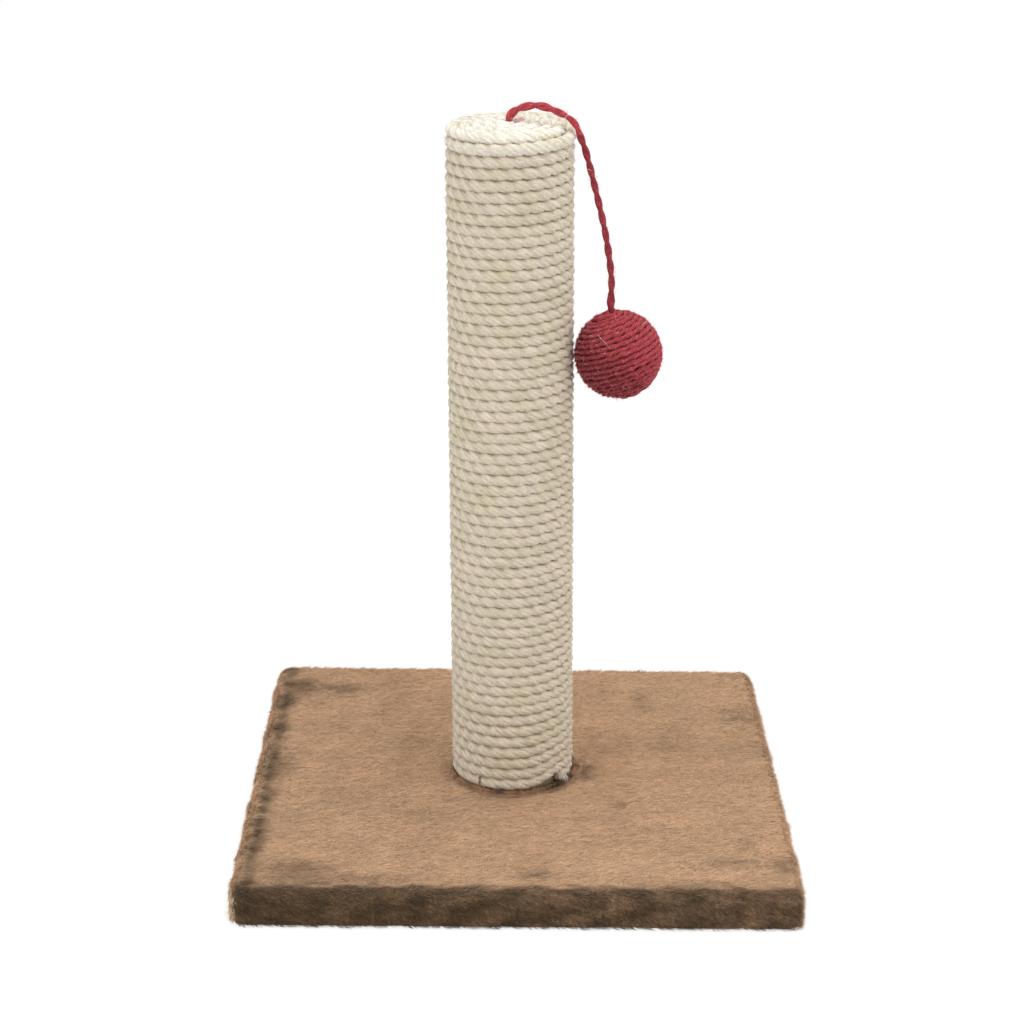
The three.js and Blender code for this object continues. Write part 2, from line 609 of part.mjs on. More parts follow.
/** Loops round the ball from pole to pole, evenly spaced, with a straight end at each pole. Its +Z is the cord's. */
function windingPath() {
  const path = [
    new THREE.Vector3(0, 0, BALL_RADIUS + BALL_STUB),
    new THREE.Vector3(0, 0, BALL_RADIUS),
    new THREE.Vector3(BALL_FIRST_LOOP * 0.45, 0, WINDING_RADIUS + 0.4),
  ];
  for (let i = 0; i <= BALL_LOOPS * BALL_STEPS; i++) {
    const down = BALL_FIRST_ANGLE + ((Math.PI - 2 * BALL_FIRST_ANGLE) * i) / (BALL_LOOPS * BALL_STEPS);
    const radius = WINDING_RADIUS * Math.sin(down);
    const round = (TURN * i) / BALL_STEPS;
    path.push(new THREE.Vector3(radius * Math.cos(round), radius * Math.sin(round), WINDING_RADIUS * Math.cos(down)));
  }
  path.push(new THREE.Vector3(BALL_FIRST_LOOP * 0.45, 0, -WINDING_RADIUS - 0.4));
  path.push(new THREE.Vector3(0, 0, -WINDING_RADIUS + 1));
  path.push(new THREE.Vector3(0, 0, -CORE_RADIUS + BALL_SOCKET_DEPTH - SEAT_GAP));
  return path;
}

function ballWinding() {
  const path = windingPath();
  const gap = leastGap(path, BALL_CORD, BALL_STEPS);
  console.log(`ball_winding: ${BALL_LOOPS} loops, least gap to itself ${gap.toFixed(2)} mm`);
  return tube(path, BALL_CORD / 2, BALL_SIDES);
}

/** The ball under the winding, with a socket below for the winding's last end. */
function ballCore() {
  const socket = BALL_CORD / 2 + SEAT_GAP;
  const from = Math.asin(socket / CORE_RADIUS);
  const count = 12;
  const side = Array.from({ length: count }, (_, i) => {
    const angle = from + ((Math.PI - from) * i) / (count - 1);
    return [i === count - 1 ? 0 : CORE_RADIUS * Math.sin(angle), -CORE_RADIUS * Math.cos(angle)];
  });
  const floor = -CORE_RADIUS + BALL_SOCKET_DEPTH;
  return turned([[0, floor], [socket, floor], ...side], BALL_STEPS);
}

// ---------------------------------------------------------------- the assembly

function named(name, geometry, material) {
  const mesh = new THREE.Mesh(geometry, material);
  mesh.name = name;
  return mesh;
}

const base = new THREE.Group();
base.add(named("base_board", baseBoard(), FIBREBOARD));
base.add(named("plush_cover", plushCover(), PLUSH));
stapleSeats().forEach(({ turn, middle }, i) => {
  const name = `hem_staple_${String(i + 1).padStart(2, "0")}`;
  const mesh = named(name, staple(STAPLE_CROWN, STAPLE_LEG), ZINC);
  mesh.rotation.z = turn;
  mesh.position.copy(middle);
  base.add(mesh);
});

const post = new THREE.Group();
post.add(named("base_bolt", baseBolt(), ZINC));
post.add(named("base_washer", ring(BOLT_HOLE, WASHER_RADIUS, BOLT_SEAT, WASHER_TOP, ROUND), ZINC));
post.add(named("tee_nut", teeNut(), ZINC));
post.add(named("foot_plug", footPlug(), SOFTWOOD));
post.add(named("top_plug", topPlug(), SOFTWOOD));
post.add(named("post_tube", postTube(), CARDBOARD));
post.add(named("post_rope", postRope(), SISAL));
post.add(named("top_rope_spiral", topRopeSpiral(), SISAL));
post.add(named("foot_rope_staple", footStaple(0), ZINC));

const toyCord = new THREE.Group();
toyCord.add(named("toy_cord_knot", cordKnot(), RED_CORD));
toyCord.add(named("toy_cord_top", cordOverTop(), RED_CORD));
toyCord.add(named("toy_cord_bend", cordBend(), RED_CORD));
toyCord.add(named("toy_cord_drop", cordToBall(), RED_CORD));

const ball = new THREE.Group();
ball.position.copy(BALL_MIDDLE);
ball.rotation.y = -BALL_TILT;
ball.add(named("ball_core", ballCore(), PRESSED_PAPER));
ball.add(named("ball_winding", ballWinding(), RED_CORD));

const toy = new THREE.Group();
toy.rotation.z = TOY_ANGLE;
toy.add(toyCord, ball);

const scratchingPost = new THREE.Group();
scratchingPost.name = "cat_scratching_post";
scratchingPost.add(base, post, toy);

export default scratchingPost;
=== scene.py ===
"""A cat scratching post: a plush base, a post wound with sisal rope, and a wound ball on a red cord."""

import bpy
import numpy as np
from mathutils import Matrix, Vector


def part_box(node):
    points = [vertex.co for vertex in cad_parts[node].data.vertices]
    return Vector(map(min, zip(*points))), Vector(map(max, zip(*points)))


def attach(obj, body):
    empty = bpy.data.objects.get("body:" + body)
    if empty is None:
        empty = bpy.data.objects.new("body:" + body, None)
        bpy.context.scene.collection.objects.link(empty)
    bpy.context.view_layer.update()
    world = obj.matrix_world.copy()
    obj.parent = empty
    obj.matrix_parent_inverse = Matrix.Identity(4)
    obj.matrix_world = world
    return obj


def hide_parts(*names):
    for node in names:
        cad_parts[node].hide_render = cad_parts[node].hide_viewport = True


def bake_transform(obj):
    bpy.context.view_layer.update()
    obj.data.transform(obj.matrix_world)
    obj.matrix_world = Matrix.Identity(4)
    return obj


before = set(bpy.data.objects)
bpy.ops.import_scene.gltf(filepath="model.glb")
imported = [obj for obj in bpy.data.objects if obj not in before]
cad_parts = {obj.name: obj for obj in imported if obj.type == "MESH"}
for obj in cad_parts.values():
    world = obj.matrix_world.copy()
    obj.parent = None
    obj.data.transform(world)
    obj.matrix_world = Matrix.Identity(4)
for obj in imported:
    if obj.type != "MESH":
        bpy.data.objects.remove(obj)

bl_info = {
    "name": "Cat Scratching Post",
    "version": (1, 0, 0),
    "blender": (4, 5, 0),
    "location": "View3D > Sidebar > Scratching Post",
    "description": "Rope, cord, plush and fittings of a cat scratching post, built on its packed frame",
    "category": "Object",
}

MM = 0.001
TURN = 2 * np.pi
UP = np.array([0, 0, 1.0])
WHITE = (1, 1, 1)
TIP_SHARE = 0.4  # how far a tube's tip stands past its last ring, as a share of its radius

# The post's frame, in millimetres.
POST_BOTTOM, TUBE_TOP, TUBE_RADIUS = 22.3, 414.9, 30.0
ROPE_START = np.radians(-35.0)
ROPE_TURNS, ROPE_PITCH = 61, 392.9 / 62
ROPE_CENTRE_RADIUS = 33.4
ROUTE_STEPS = 200  # points in a turn of the rope's centre line
SEAT_GAP = 0.3
FLAT_SHARE, SETTLING_TURNS = 0.88, 8
SPIRAL_ROPE, SPIRAL_PITCH, SPIRAL_CLIMB, SPIRAL_RIM_TURN = 5.85, 6.5, 0.22, 0.37
SPIRAL_OVERHANG, SPIRAL_UNEVENNESS, SPIRAL_LAST_RADIUS = 2.8, 0.6, 4.7
TAIL_TURN = 0.66  # how far the rope's last bit turns inwards, in radians

# The rope's look: its strands in metres, how its section is pressed outwards and across, and places in turns.
STRANDS, STRAND_SIDES, STRAND_OFFSET, STRAND_RADIUS = 3, 8, 0.00137, 0.00224
ROPE_PRESS = (0.93, 1.1)
ROPE_SPLITS = [20.33, 40.67, ROPE_TURNS]  # where the winding is split, so that each piece stays small
# painted light: from which turn the rope is painted paler over the top, and over how many turns
TOP_LIGHT_FROM, TOP_LIGHT_OVER = 59.6, 3.2
FOOT_LIFT, FOOT_LIFT_TURNS = 1.7, 26  # how far the lowest turns are raised, in millimetres, and over how many turns

# The cord's route: distance from the post's axis and height over the tube's top, in an upright plane.
CORD_PLANE_ANGLE = np.radians(-8.0)
RIM_POINT = [39.6, 0.3]
CORD_OVER_TOP = [
    [0, -12], [0, -5.9], [0, -0.9], [-0.2, 3.6], [-0.5, 7.3], [0.5, 10.9], [3.4, 13.5], [8.1, 15.4], [13, 16.4],
    [18.1, 16.1], [23.1, 14.7], [28.4, 12.5], [33.2, 10], [37.1, 6.3], RIM_POINT,
]
CORD_TO_BALL = [
    RIM_POINT, [42.5, -7.3], [44.8, -15.3], [46.9, -23.5], [49.1, -32.3], [51.4, -41.7], [53.8, -52.3],
    [55.8, -63.3], [57.4, -74.3], [58.2, -84.5], [58, -91.5],
]
CORD_STEP = 0.0009  # between points of the cord's line, in metres
BALL_CENTRE, BALL_RADIUS, BALL_LEAN = [62.4, -125.9], 25.1, np.radians(9.0)

# The plush cover, in millimetres: its cloth lies inside the pile.
COVER_HALF, COVER_EDGE, COVER_CORNER, CLOTH_TOP = 158.0, 5.0, 8.5, 22.2
FOOT_RADIUS = 37.4  # where the open pile begins round the post
EDGE_SHARE = 0.42  # of the rounded edge's quarter turn that the side pile covers, and of the tufts that stand there


class PostSettings(bpy.types.PropertyGroup):
    rope_lay: bpy.props.FloatProperty(
        name="Rope lay", description="Length of rope in which one strand goes round once", default=0.0257, unit="LENGTH"
    )
    rope_colour: bpy.props.FloatVectorProperty(
        name="Sisal", description="Colour of the sisal rope", default=(0.705, 0.618, 0.495), subtype="COLOR", size=3
    )
    plush_colour: bpy.props.FloatVectorProperty(
        name="Plush", description="Colour of the plush pile", default=(0.64, 0.415, 0.25), subtype="COLOR", size=3
    )
    pile_count: bpy.props.IntProperty(
        name="Pile count", description="Tufts on the top of the base", default=190000
    )
    pile_length: bpy.props.FloatProperty(
        name="Pile length", description="Length of one tuft of the plush", default=0.0034, unit="LENGTH"
    )


class CordSettings(bpy.types.PropertyGroup):
    cord_lay: bpy.props.FloatProperty(
        name="Cord lay", description="Length of cord in which one ply goes round once", default=0.019, unit="LENGTH"
    )
    cord_thickness: bpy.props.FloatProperty(
        name="Cord thickness", description="Diameter of the red cord", default=0.0032, unit="LENGTH"
    )
    cord_colour: bpy.props.FloatVectorProperty(
        name="Red cord", description="Colour of the dyed cord", default=(0.38, 0.045, 0.056), subtype="COLOR", size=3
    )
    ball_wraps: bpy.props.IntProperty(name="Ball wraps", description="Wraps of cord round the ball", default=24)


# ---------------------------------------------------------------- curves and surfaces


def smoothstep(x):
    """0 before 0, 1 after 1, and 3x^2 - 2x^3 between."""
    x = np.clip(x, 0, 1)
    return x * x * (3 - 2 * x)


def unit(v):
    """Each vector divided by its length."""
    return v / np.maximum(np.linalg.norm(v, axis=-1, keepdims=True), 1e-12)


def curve_through(points, step):
    """A cubic Hermite curve through the points, with central differences for its slopes.
    It is resampled at even steps of its length."""
    p = np.asarray(points, float)
    s = np.concatenate([[0], np.cumsum(np.linalg.norm(np.diff(p, axis=0), axis=1))])
    slope = np.gradient(p, s, axis=0)
    fine = np.linspace(0, s[-1], 40 * len(p))
    i = np.clip(np.searchsorted(s, fine, side="right") - 1, 0, len(p) - 2)
    h = (s[i + 1] - s[i])[:, None]
    x = ((fine - s[i]) / (s[i + 1] - s[i]))[:, None]
    curve = (
        (2 * x**3 - 3 * x**2 + 1) * p[i]
        + (x**3 - 2 * x**2 + x) * h * slope[i]
        + (3 * x**2 - 2 * x**3) * p[i + 1]
        + (x**3 - x**2) * h * slope[i + 1]
    )
    return even_steps(curve, step)


def even_steps(curve, step):
    """The same curve with its points an even step apart along its length."""
    run = length_along(curve)
    count = max(2, int(round(run[-1] / step)) + 1)
    at = np.linspace(0, run[-1], count)
    return np.stack([np.interp(at, run, curve[:, k]) for k in range(3)], 1)


def length_along(curve):
    """Length from the curve's start to each of its points."""
    return np.concatenate([[0], np.cumsum(np.linalg.norm(np.diff(curve, axis=0), axis=1))])


def wander(count, knots, seed):
    """Smooth random values between -1 and 1: random knots joined by smoothsteps."""
    value = np.random.default_rng(seed).uniform(-1, 1, knots + 2)
    x = np.linspace(0, knots, count)
    i = np.minimum(x.astype(int), knots)
    return value[i] + (value[i + 1] - value[i]) * smoothstep(x - i)


def twisted(path, outward, lay, plies, offset, hand, phase=0.0):
    """Centre lines of the plies: the path plus an offset that turns round it once in each lay.
    The offset is cos(a) of the outward direction and sin(a) of the one across it, where
    a = hand * 2 pi * length / lay + 2 pi * ply / plies + phase."""
    along = unit(np.gradient(path, axis=0))
    out = unit(outward - (outward * along).sum(1, keepdims=True) * along)
    across = np.cross(along, out)
    run = length_along(path)
    lines = []
    for ply in range(plies):
        a = (hand * TURN * run / lay + TURN * ply / plies + phase)[:, None]
        lines.append(path + np.reshape(offset, (-1, 1)) * (np.cos(a) * out + np.sin(a) * across))
    return lines


def tube(line, outward, radius, sides):
    """A closed tube round a line: each ring is radius * (cos(b) * outward + sin(b) * across), and each end a point.
    Returns its points, its quads, its triangles and, for each point, the length along it and the share round it."""
    along = unit(np.gradient(line, axis=0))
    out = unit(outward - (outward * along).sum(1, keepdims=True) * along)
    across = np.cross(along, out)
    b = np.arange(sides) * TURN / sides
    r = np.broadcast_to(np.reshape(radius, (-1, 1, 1)), (len(line), 1, 1))
    ring = line[:, None] + r * (np.cos(b)[None, :, None] * out[:, None] + np.sin(b)[None, :, None] * across[:, None])
    n = len(line)
    tips = [line[:1] - along[:1] * r[0] * TIP_SHARE, line[-1:] + along[-1:] * r[-1] * TIP_SHARE]
    points = np.concatenate([ring.reshape(-1, 3), *tips])
    i, j = np.meshgrid(np.arange(n - 1), np.arange(sides), indexing="ij")
    k = (j + 1) % sides
    quads = np.stack([i * sides + j, i * sides + k, (i + 1) * sides + k, (i + 1) * sides + j], -1).reshape(-1, 4)
    j = np.arange(sides)
    k = (j + 1) % sides
    start = np.stack([np.full(sides, n * sides), k, j], 1)
    end = np.stack([np.full(sides, n * sides + 1), (n - 1) * sides + j, (n - 1) * sides + k], 1)
    run = length_along(line)
    u = np.concatenate([np.repeat(run, sides), [0, run[-1]]])
    v = np.concatenate([np.tile(j / sides, n), [0, 0]])
    return points, quads, np.concatenate([start, end]), u, v


def joined(parts):
    """Several tubes as one: their points one after the other, with the faces' numbers moved on."""
    start = np.concatenate([[0], np.cumsum([len(p[0]) for p in parts])[:-1]])
    return (
        np.concatenate([p[0] for p in parts]),
        np.concatenate([p[1] + s for p, s in zip(parts, start)]),
        np.concatenate([p[2] + s for p, s in zip(parts, start)]),
        np.concatenate([p[3] for p in parts]),
        np.concatenate([p[4] for p in parts]),
        np.concatenate([np.full(len(p[0]), float(i)) for i, p in enumerate(parts)]),
    )


def closed_grid(rows, columns):
    """The quads of a grid of points that closes on itself both ways."""
    i, j = np.meshgrid(np.arange(rows), np.arange(columns), indexing="ij")
    i2, j2 = (i + 1) % rows, (j + 1) % columns
    return np.stack([i * columns + j, i * columns + j2, i2 * columns + j2, i2 * columns + j], -1).reshape(-1, 4)


def piece(name, points, faces, look, smooth=True, **values):
    """A mesh object from whole arrays: points, face arrays of 3 or 4 corners, and named values of its points."""
    mesh = bpy.data.meshes.new(name)
    points = np.asarray(points, np.float32)
    mesh.vertices.add(len(points))
    mesh.vertices.foreach_set("co", points.ravel())
    faces = [np.asarray(f, np.int32) for f in faces if len(f)]
    corners = np.concatenate([f.ravel() for f in faces])
    sizes = np.concatenate([np.full(len(f), f.shape[1], np.int32) for f in faces])
    mesh.loops.add(len(corners))
    mesh.loops.foreach_set("vertex_index", corners)
    mesh.polygons.add(len(sizes))
    mesh.polygons.foreach_set("loop_start", np.concatenate([[0], np.cumsum(sizes)[:-1]]).astype(np.int32))
    mesh.polygons.foreach_set("use_smooth", np.full(len(sizes), smooth))
    for key, value in values.items():
        mesh.attributes.new(key, "FLOAT", "POINT").data.foreach_set("value", np.asarray(value, np.float32))
    mesh.update(calc_edges=True)
    mesh.materials.append(look)
    obj = bpy.data.objects.new(name, mesh)
    bpy.context.scene.collection.objects.link(obj)
    return obj


def fibres(name, root, middle, tip, width, look, tint):
    """Thin three-sided fibres, each through a root, a middle and a tip, closed at both ends."""
    along = unit(tip - root)
    side = unit(np.cross(along, np.array([0.31, 0.57, 0.76])))
    across = np.cross(along, side)
    b = np.arange(3) * TURN / 3
    w = np.reshape(np.broadcast_to(width, (len(root),)), (-1, 1, 1)) / 2
    ring = np.cos(b)[None, :, None] * side[:, None] + np.sin(b)[None, :, None] * across[:, None]
    points = np.concatenate([root[:, None] + w * ring, middle[:, None] + 0.8 * w * ring, tip[:, None]], 1)
    first = 7 * np.arange(len(root))[:, None, None]
    quads = first + np.array([[i, (i + 1) % 3, 3 + (i + 1) % 3, 3 + i] for i in range(3)])
    ends = first + np.array([[2, 1, 0]] + [[3 + i, 3 + (i + 1) % 3, 6] for i in range(3)])
    faces = [quads.reshape(-1, 4), ends.reshape(-1, 3)]
    return piece(name, points.reshape(-1, 3), faces, look, False, tint=np.repeat(tint, 7))


def tufts(name, root, tip, width, look, tint, shade):
    """Pointed tufts of pile: a small triangle at the root and one tip, each a closed four-faced spike."""
    along = unit(tip - root)
    side = unit(np.cross(along, np.array([0.0, 0.0, 1.0]) + 0.3 * np.array([0.4, 0.7, 0.0])))
    across = np.cross(along, side)
    b = np.array([0.0, 2.4, 3.9])
    w = np.reshape(np.broadcast_to(width, (len(root),)), (-1, 1, 1)) / 2
    ring = np.cos(b)[None, :, None] * side[:, None] + 0.6 * np.sin(b)[None, :, None] * across[:, None]
    points = np.concatenate([root[:, None] + w * ring, tip[:, None]], 1)
    first = 4 * np.arange(len(root))[:, None, None]
    faces = first + np.array([[2, 1, 0], [0, 1, 3], [1, 2, 3], [2, 0, 3]])
    return piece(
        name, points.reshape(-1, 3), [faces.reshape(-1, 3)], look, False,
        tint=np.repeat(tint, 4), tipward=np.tile([0.0, 0.0, 0.0, 1.0], len(root)), shade=np.repeat(shade, 4),
    )


# ---------------------------------------------------------------- routes of the rope and the cord


def cord_plane(pairs):
    """Points of the cord's upright plane, from distance and height in millimetres."""
    d, h = np.asarray(pairs, float).T * MM
    return np.stack([d * np.cos(CORD_PLANE_ANGLE), d * np.sin(CORD_PLANE_ANGLE), TUBE_TOP * MM + h], 1)


CORD_SIDE = np.array([-np.sin(CORD_PLANE_ANGLE), np.cos(CORD_PLANE_ANGLE), 0.0])


def ball_frame():
    """The ball's centre, its pole towards the cord, and two directions across it."""
    centre = cord_plane([BALL_CENTRE])[0]
    radial = np.array([np.cos(CORD_PLANE_ANGLE), np.sin(CORD_PLANE_ANGLE), 0.0])
    pole = -np.sin(BALL_LEAN) * radial + np.cos(BALL_LEAN) * np.array([0, 0, 1.0])
    return centre, pole, unit(np.cross(pole, CORD_SIDE)), CORD_SIDE


def rope_edge(turns):
    """Height of the rope's lower edge after so many turns, in millimetres.
    The first turns lie almost flat and step up at their end, and the rest climb evenly."""
    whole = np.floor(turns)
    part = turns - whole
    flat = np.maximum(0, 1 - turns / SETTLING_TURNS)
    late = smoothstep((part - FLAT_SHARE) / (1 - FLAT_SHARE))
    return POST_BOTTOM + ROPE_PITCH * (whole + (1 - flat) * part + flat * late)


def rope_route():
    """The rope's centre line: turns round the tube at one radius, then over its edge and inwards in a flat spiral,
    whose radius falls by one pitch a turn. Returns its points in metres and the number of turns at each."""
    t = np.arange(0, ROPE_TURNS, 1 / ROUTE_STEPS)
    post = np.stack([np.full_like(t, ROPE_CENTRE_RADIUS), t, (rope_edge(t) + rope_edge(t + 1)) / 2], 1)
    straight = np.arctan((SEAT_GAP + SPIRAL_ROPE) / ROPE_CENTRE_RADIUS) / TURN
    widest = np.hypot(ROPE_CENTRE_RADIUS, SEAT_GAP + SPIRAL_ROPE)
    s = np.arange(0, 5, 1 / ROUTE_STEPS)
    past = s - SPIRAL_RIM_TURN
    inward = TUBE_RADIUS + SPIRAL_OVERHANG - SPIRAL_PITCH * (past - SPIRAL_UNEVENNESS / TURN * np.sin(TURN * past))
    leaving = ROPE_CENTRE_RADIUS / np.cos(TURN * np.minimum(s, straight))
    radius = np.minimum(np.where(s < straight, leaving, widest), inward)
    low = (rope_edge(ROPE_TURNS) + rope_edge(ROPE_TURNS + 1)) / 2
    high = TUBE_TOP + SEAT_GAP + SPIRAL_ROPE / 2
    height = low + (high - low) * smoothstep((s - straight) / (SPIRAL_CLIMB - straight))
    keep = radius > SPIRAL_LAST_RADIUS
    top = np.stack([radius, ROPE_TURNS + s, height], 1)[keep]
    route = np.concatenate([post, top])
    angle = ROPE_START + TURN * route[:, 1]
    points = np.stack([route[:, 0] * np.cos(angle), route[:, 0] * np.sin(angle), route[:, 2]], 1) * MM
    along = unit(points[-1] - points[-2])
    cos, sin = np.cos(TAIL_TURN), np.sin(TAIL_TURN)
    inwards = np.array([along[0] * cos - along[1] * sin, along[0] * sin + along[1] * cos, 0])
    tail = points[-1] + np.linspace(0.15, 1, 8)[:, None] * SPIRAL_ROPE * MM * unit(along + inwards)
    return np.concatenate([points, tail]), np.concatenate([route[:, 1], np.full(8, route[-1, 1] + 0.05)])


# ---------------------------------------------------------------- materials


def material(name, colour, roughness, **sockets):
    """A new material with one Principled shader, whose named sockets are set on it."""
    m = bpy.data.materials.new(name)
    m.use_nodes = True
    shader = m.node_tree.nodes["Principled BSDF"]
    shader.inputs["Base Color"].default_value = (*colour, 1)
    shader.inputs["Roughness"].default_value = roughness
    for key, value in sockets.items():
        shader.inputs[key.replace("_", " ")].default_value = value
    m.diffuse_color = (*colour, 1)
    return m


def node(m, kind, **settings):
    """A node of that kind, with inputs set by name or number where the tree's settings name them."""
    n = m.node_tree.nodes.new("ShaderNode" + kind)
    for key, value in settings.items():
        if key in n.inputs:
            n.inputs[key].default_value = value
        else:
            setattr(n, key, value)
    return n


def link(m, out, into):
    m.node_tree.links.new(out, into)


def shader_of(m):
    return m.node_tree.nodes["Principled BSDF"]


def value_of(m, name):
    """The named value of the mesh's points."""
    return node(m, "Attribute", attribute_name=name).outputs["Fac"]


def ramp(m, factor, stops):
    """A colour ramp through (place, colour) stops."""
    n = node(m, "ValToRGB")
    e = n.color_ramp.elements
    while len(e) < len(stops):
        e.new(0.5)
    for spot, (place, colour) in zip(e, stops):
        spot.position, spot.color = place, (*colour, 1)
    link(m, factor, n.inputs["Fac"])
    return n.outputs["Color"]


def feed(m, value, socket):
    """Links an output to the socket, or sets a number or a colour on it."""
    if hasattr(value, "is_linked"):
        link(m, value, socket)
    elif isinstance(value, (int, float)):
        socket.default_value = value
    else:
        socket.default_value = (*value, 1)


def vector_of(m, *values):
    n = node(m, "CombineXYZ")
    for value, socket in zip(values, n.inputs):
        feed(m, value, socket)
    return n.outputs[0]


def scaled(m, vector, size):
    n = node(m, "Mapping")
    n.inputs["Scale"].default_value = size
    link(m, vector, n.inputs["Vector"])
    return n.outputs[0]


def noise(m, vector, scale, detail=3.0, rough=0.55):
    n = node(m, "TexNoise", Scale=scale, Detail=detail, Roughness=rough)
    link(m, vector, n.inputs["Vector"])
    return n.outputs["Fac"]


def mixed(m, factor, a, b, kind="MIX"):
    """Two colours mixed by a factor. Each may be a colour or a socket."""
    n = node(m, "Mix", data_type="RGBA", blend_type=kind)
    for value, socket in ((factor, n.inputs[0]), (a, n.inputs[6]), (b, n.inputs[7])):
        feed(m, value, socket)
    return n.outputs[2]


def times(m, a, b):
    return mixed(m, 1.0, a, b, "MULTIPLY")


def sums(m, kind, a, b):
    """A sum, product or maximum of two numbers. Each may be a number or a socket."""
    n = node(m, "Math", operation=kind)
    feed(m, a, n.inputs[0])
    feed(m, b, n.inputs[1])
    return n.outputs[0]


def bump(m, height, distance, strength=1.0):
    n = node(m, "Bump", Strength=strength, Distance=distance)
    link(m, height, n.inputs["Height"])
    link(m, n.outputs[0], shader_of(m).inputs["Normal"])


def paint(m, colour):
    link(m, colour, shader_of(m).inputs["Base Color"])


def object_space(m):
    return node(m, "TexCoord").outputs["Object"]


def tone(colour, factor):
    """The colour made darker or paler."""
    return tuple(min(1.0, c * factor) for c in colour)


def shades(m, factor, colour, *stops):
    """A ramp through tones of one colour, from (place, how pale) stops."""
    return ramp(m, factor, [(place, tone(colour, pale)) for place, pale in stops])


def sisal(name, colour):
    """Sisal strands: long pale fibres that wind along each strand, with darker ones between, painted shade in the
    grooves and painted light on the turns over the top.
    """
    m = material(name, colour, 0.85, Specular_IOR_Level=0.25, Sheen_Weight=0.4, Sheen_Roughness=0.35)
    shader_of(m).inputs["Sheen Tint"].default_value = (1, 0.94, 0.83, 1)
    shift = sums(m, "MULTIPLY", value_of(m, "ply"), 7.3)
    across = sums(m, "ADD", sums(m, "MULTIPLY", value_of(m, "round"), 9), shift)
    place = vector_of(m, sums(m, "MULTIPLY", value_of(m, "along"), 1000), across, shift)
    fibre = noise(m, scaled(m, place, (0.16, 1.6, 1.0)), 1.0, 4.0, 0.65)
    coarse = noise(m, scaled(m, place, (0.03, 0.3, 1.0)), 1.0, 2.0)
    body = shades(m, fibre, colour, (0.25, 0.62), (0.45, 0.95), (0.62, 1.1), (0.8, 1.3))
    body = mixed(m, sums(m, "MULTIPLY", coarse, 0.3), body, tone(colour, 1.15))
    olive = noise(m, object_space(m), 60.0, 3.0)
    body = times(m, body, ramp(m, olive, [(0.35, (0.93, 0.94, 0.86)), (0.55, WHITE), (0.75, (1.03, 1.0, 0.98))]))
    # painted light: the turns over the top are painted paler
    body = times(m, body, ramp(m, value_of(m, "bleached"), [(0.0, WHITE), (1.0, (1.36, 1.48, 1.68))]))
    # painted shade: the strands are darker where they face into the winding
    groove_shade = ramp(m, value_of(m, "depth"), [(0.0, WHITE), (0.6, (0.97, 0.96, 0.93)), (1.0, (0.6, 0.54, 0.44))])
    paint(m, times(m, body, groove_shade))
    bump(m, fibre, 0.0007)
    return m


def loose_fibre(name, colour):
    """Single fibres, each with its own tint."""
    m = material(name, colour, 0.7, Specular_IOR_Level=0.3)
    paint(m, shades(m, value_of(m, "tint"), colour, (0.0, 0.6), (1.0, 1.5)))
    return m


def dyed_cord(colour):
    """Soft dyed yarn: fine fibres along each ply, uneven dye, and painted shade in the grooves and wherever a piece's
    depth value is raised.
    """
    m = material("dyed red cord", colour, 0.9, Specular_IOR_Level=0.2, Sheen_Weight=0.08, Sheen_Roughness=0.5)
    shader_of(m).inputs["Sheen Tint"].default_value = (1, 0.6, 0.6, 1)
    steps = (("along", 1000), ("round", 6), ("ply", 5.1))
    place = vector_of(m, *(sums(m, "MULTIPLY", value_of(m, key), step) for key, step in steps))
    fibre = noise(m, scaled(m, place, (0.35, 2.2, 1.0)), 1.0, 3.0, 0.6)
    patches = noise(m, object_space(m), 90.0, 2.0)
    body = shades(m, fibre, colour, (0.3, 0.42), (0.48, 1), (0.7, 1.8))
    body = mixed(m, sums(m, "MULTIPLY", patches, 0.3), body, tone(colour, 1.5))
    # painted shade, darker as each point's depth value rises
    groove_shade = ramp(m, value_of(m, "depth"), [(0.0, WHITE), (0.6, (0.76, 0.8, 0.8)), (1.0, (0.33, 0.3, 0.3))])
    paint(m, times(m, body, groove_shade))
    bump(m, fibre, 0.0006)
    return m


def pile_colours(m, colour):
    """Plush colour: a faint cloudy mottle and a fine grain, times the shade value, which holds how the pile lies there
    together with painted shade and painted light.
    """
    place = object_space(m)
    cloudy = noise(m, scaled(m, place, (1.0, 1.5, 1.0)), 30.0, 3.0, 0.6)
    body = shades(m, cloudy, colour, (0.32, 0.9), (0.5, 1), (0.68, 1.08))
    grain = noise(m, scaled(m, place, (230, 520, 520)), 1.0, 2.0)
    body = times(m, body, ramp(m, grain, [(0.32, (0.8, 0.79, 0.78)), (0.52, WHITE), (0.7, (1.12, 1.12, 1.12))]))
    stops = [(0.0, (0.02, 0.02, 0.02)), (0.35, (0.265, 0.249, 0.197)), (0.7, (0.64, 0.635, 0.62)), (1.0, WHITE)]
    return times(m, body, ramp(m, value_of(m, "shade"), stops))


def plush_pile(colour):
    """Tufts in the plush colour, each with its own tint, darker at its root as painted shade and paler towards its tip
    as painted light.
    """
    m = material("plush pile", colour, 0.95, Specular_IOR_Level=0.1, Sheen_Weight=0.15, Sheen_Roughness=0.6)
    stops = [(0.0, (0.78, 0.77, 0.75)), (0.5, (1.04, 1.045, 1.04)), (1.0, (1.22, 1.25, 1.31))]
    body = times(m, pile_colours(m, colour), ramp(m, value_of(m, "tint"), stops))
    tipward = ramp(m, value_of(m, "tipward"), [(0.0, (0.85, 0.84, 0.83)), (1.0, (1.2, 1.2, 1.2))])
    paint(m, times(m, body, tipward))
    return m


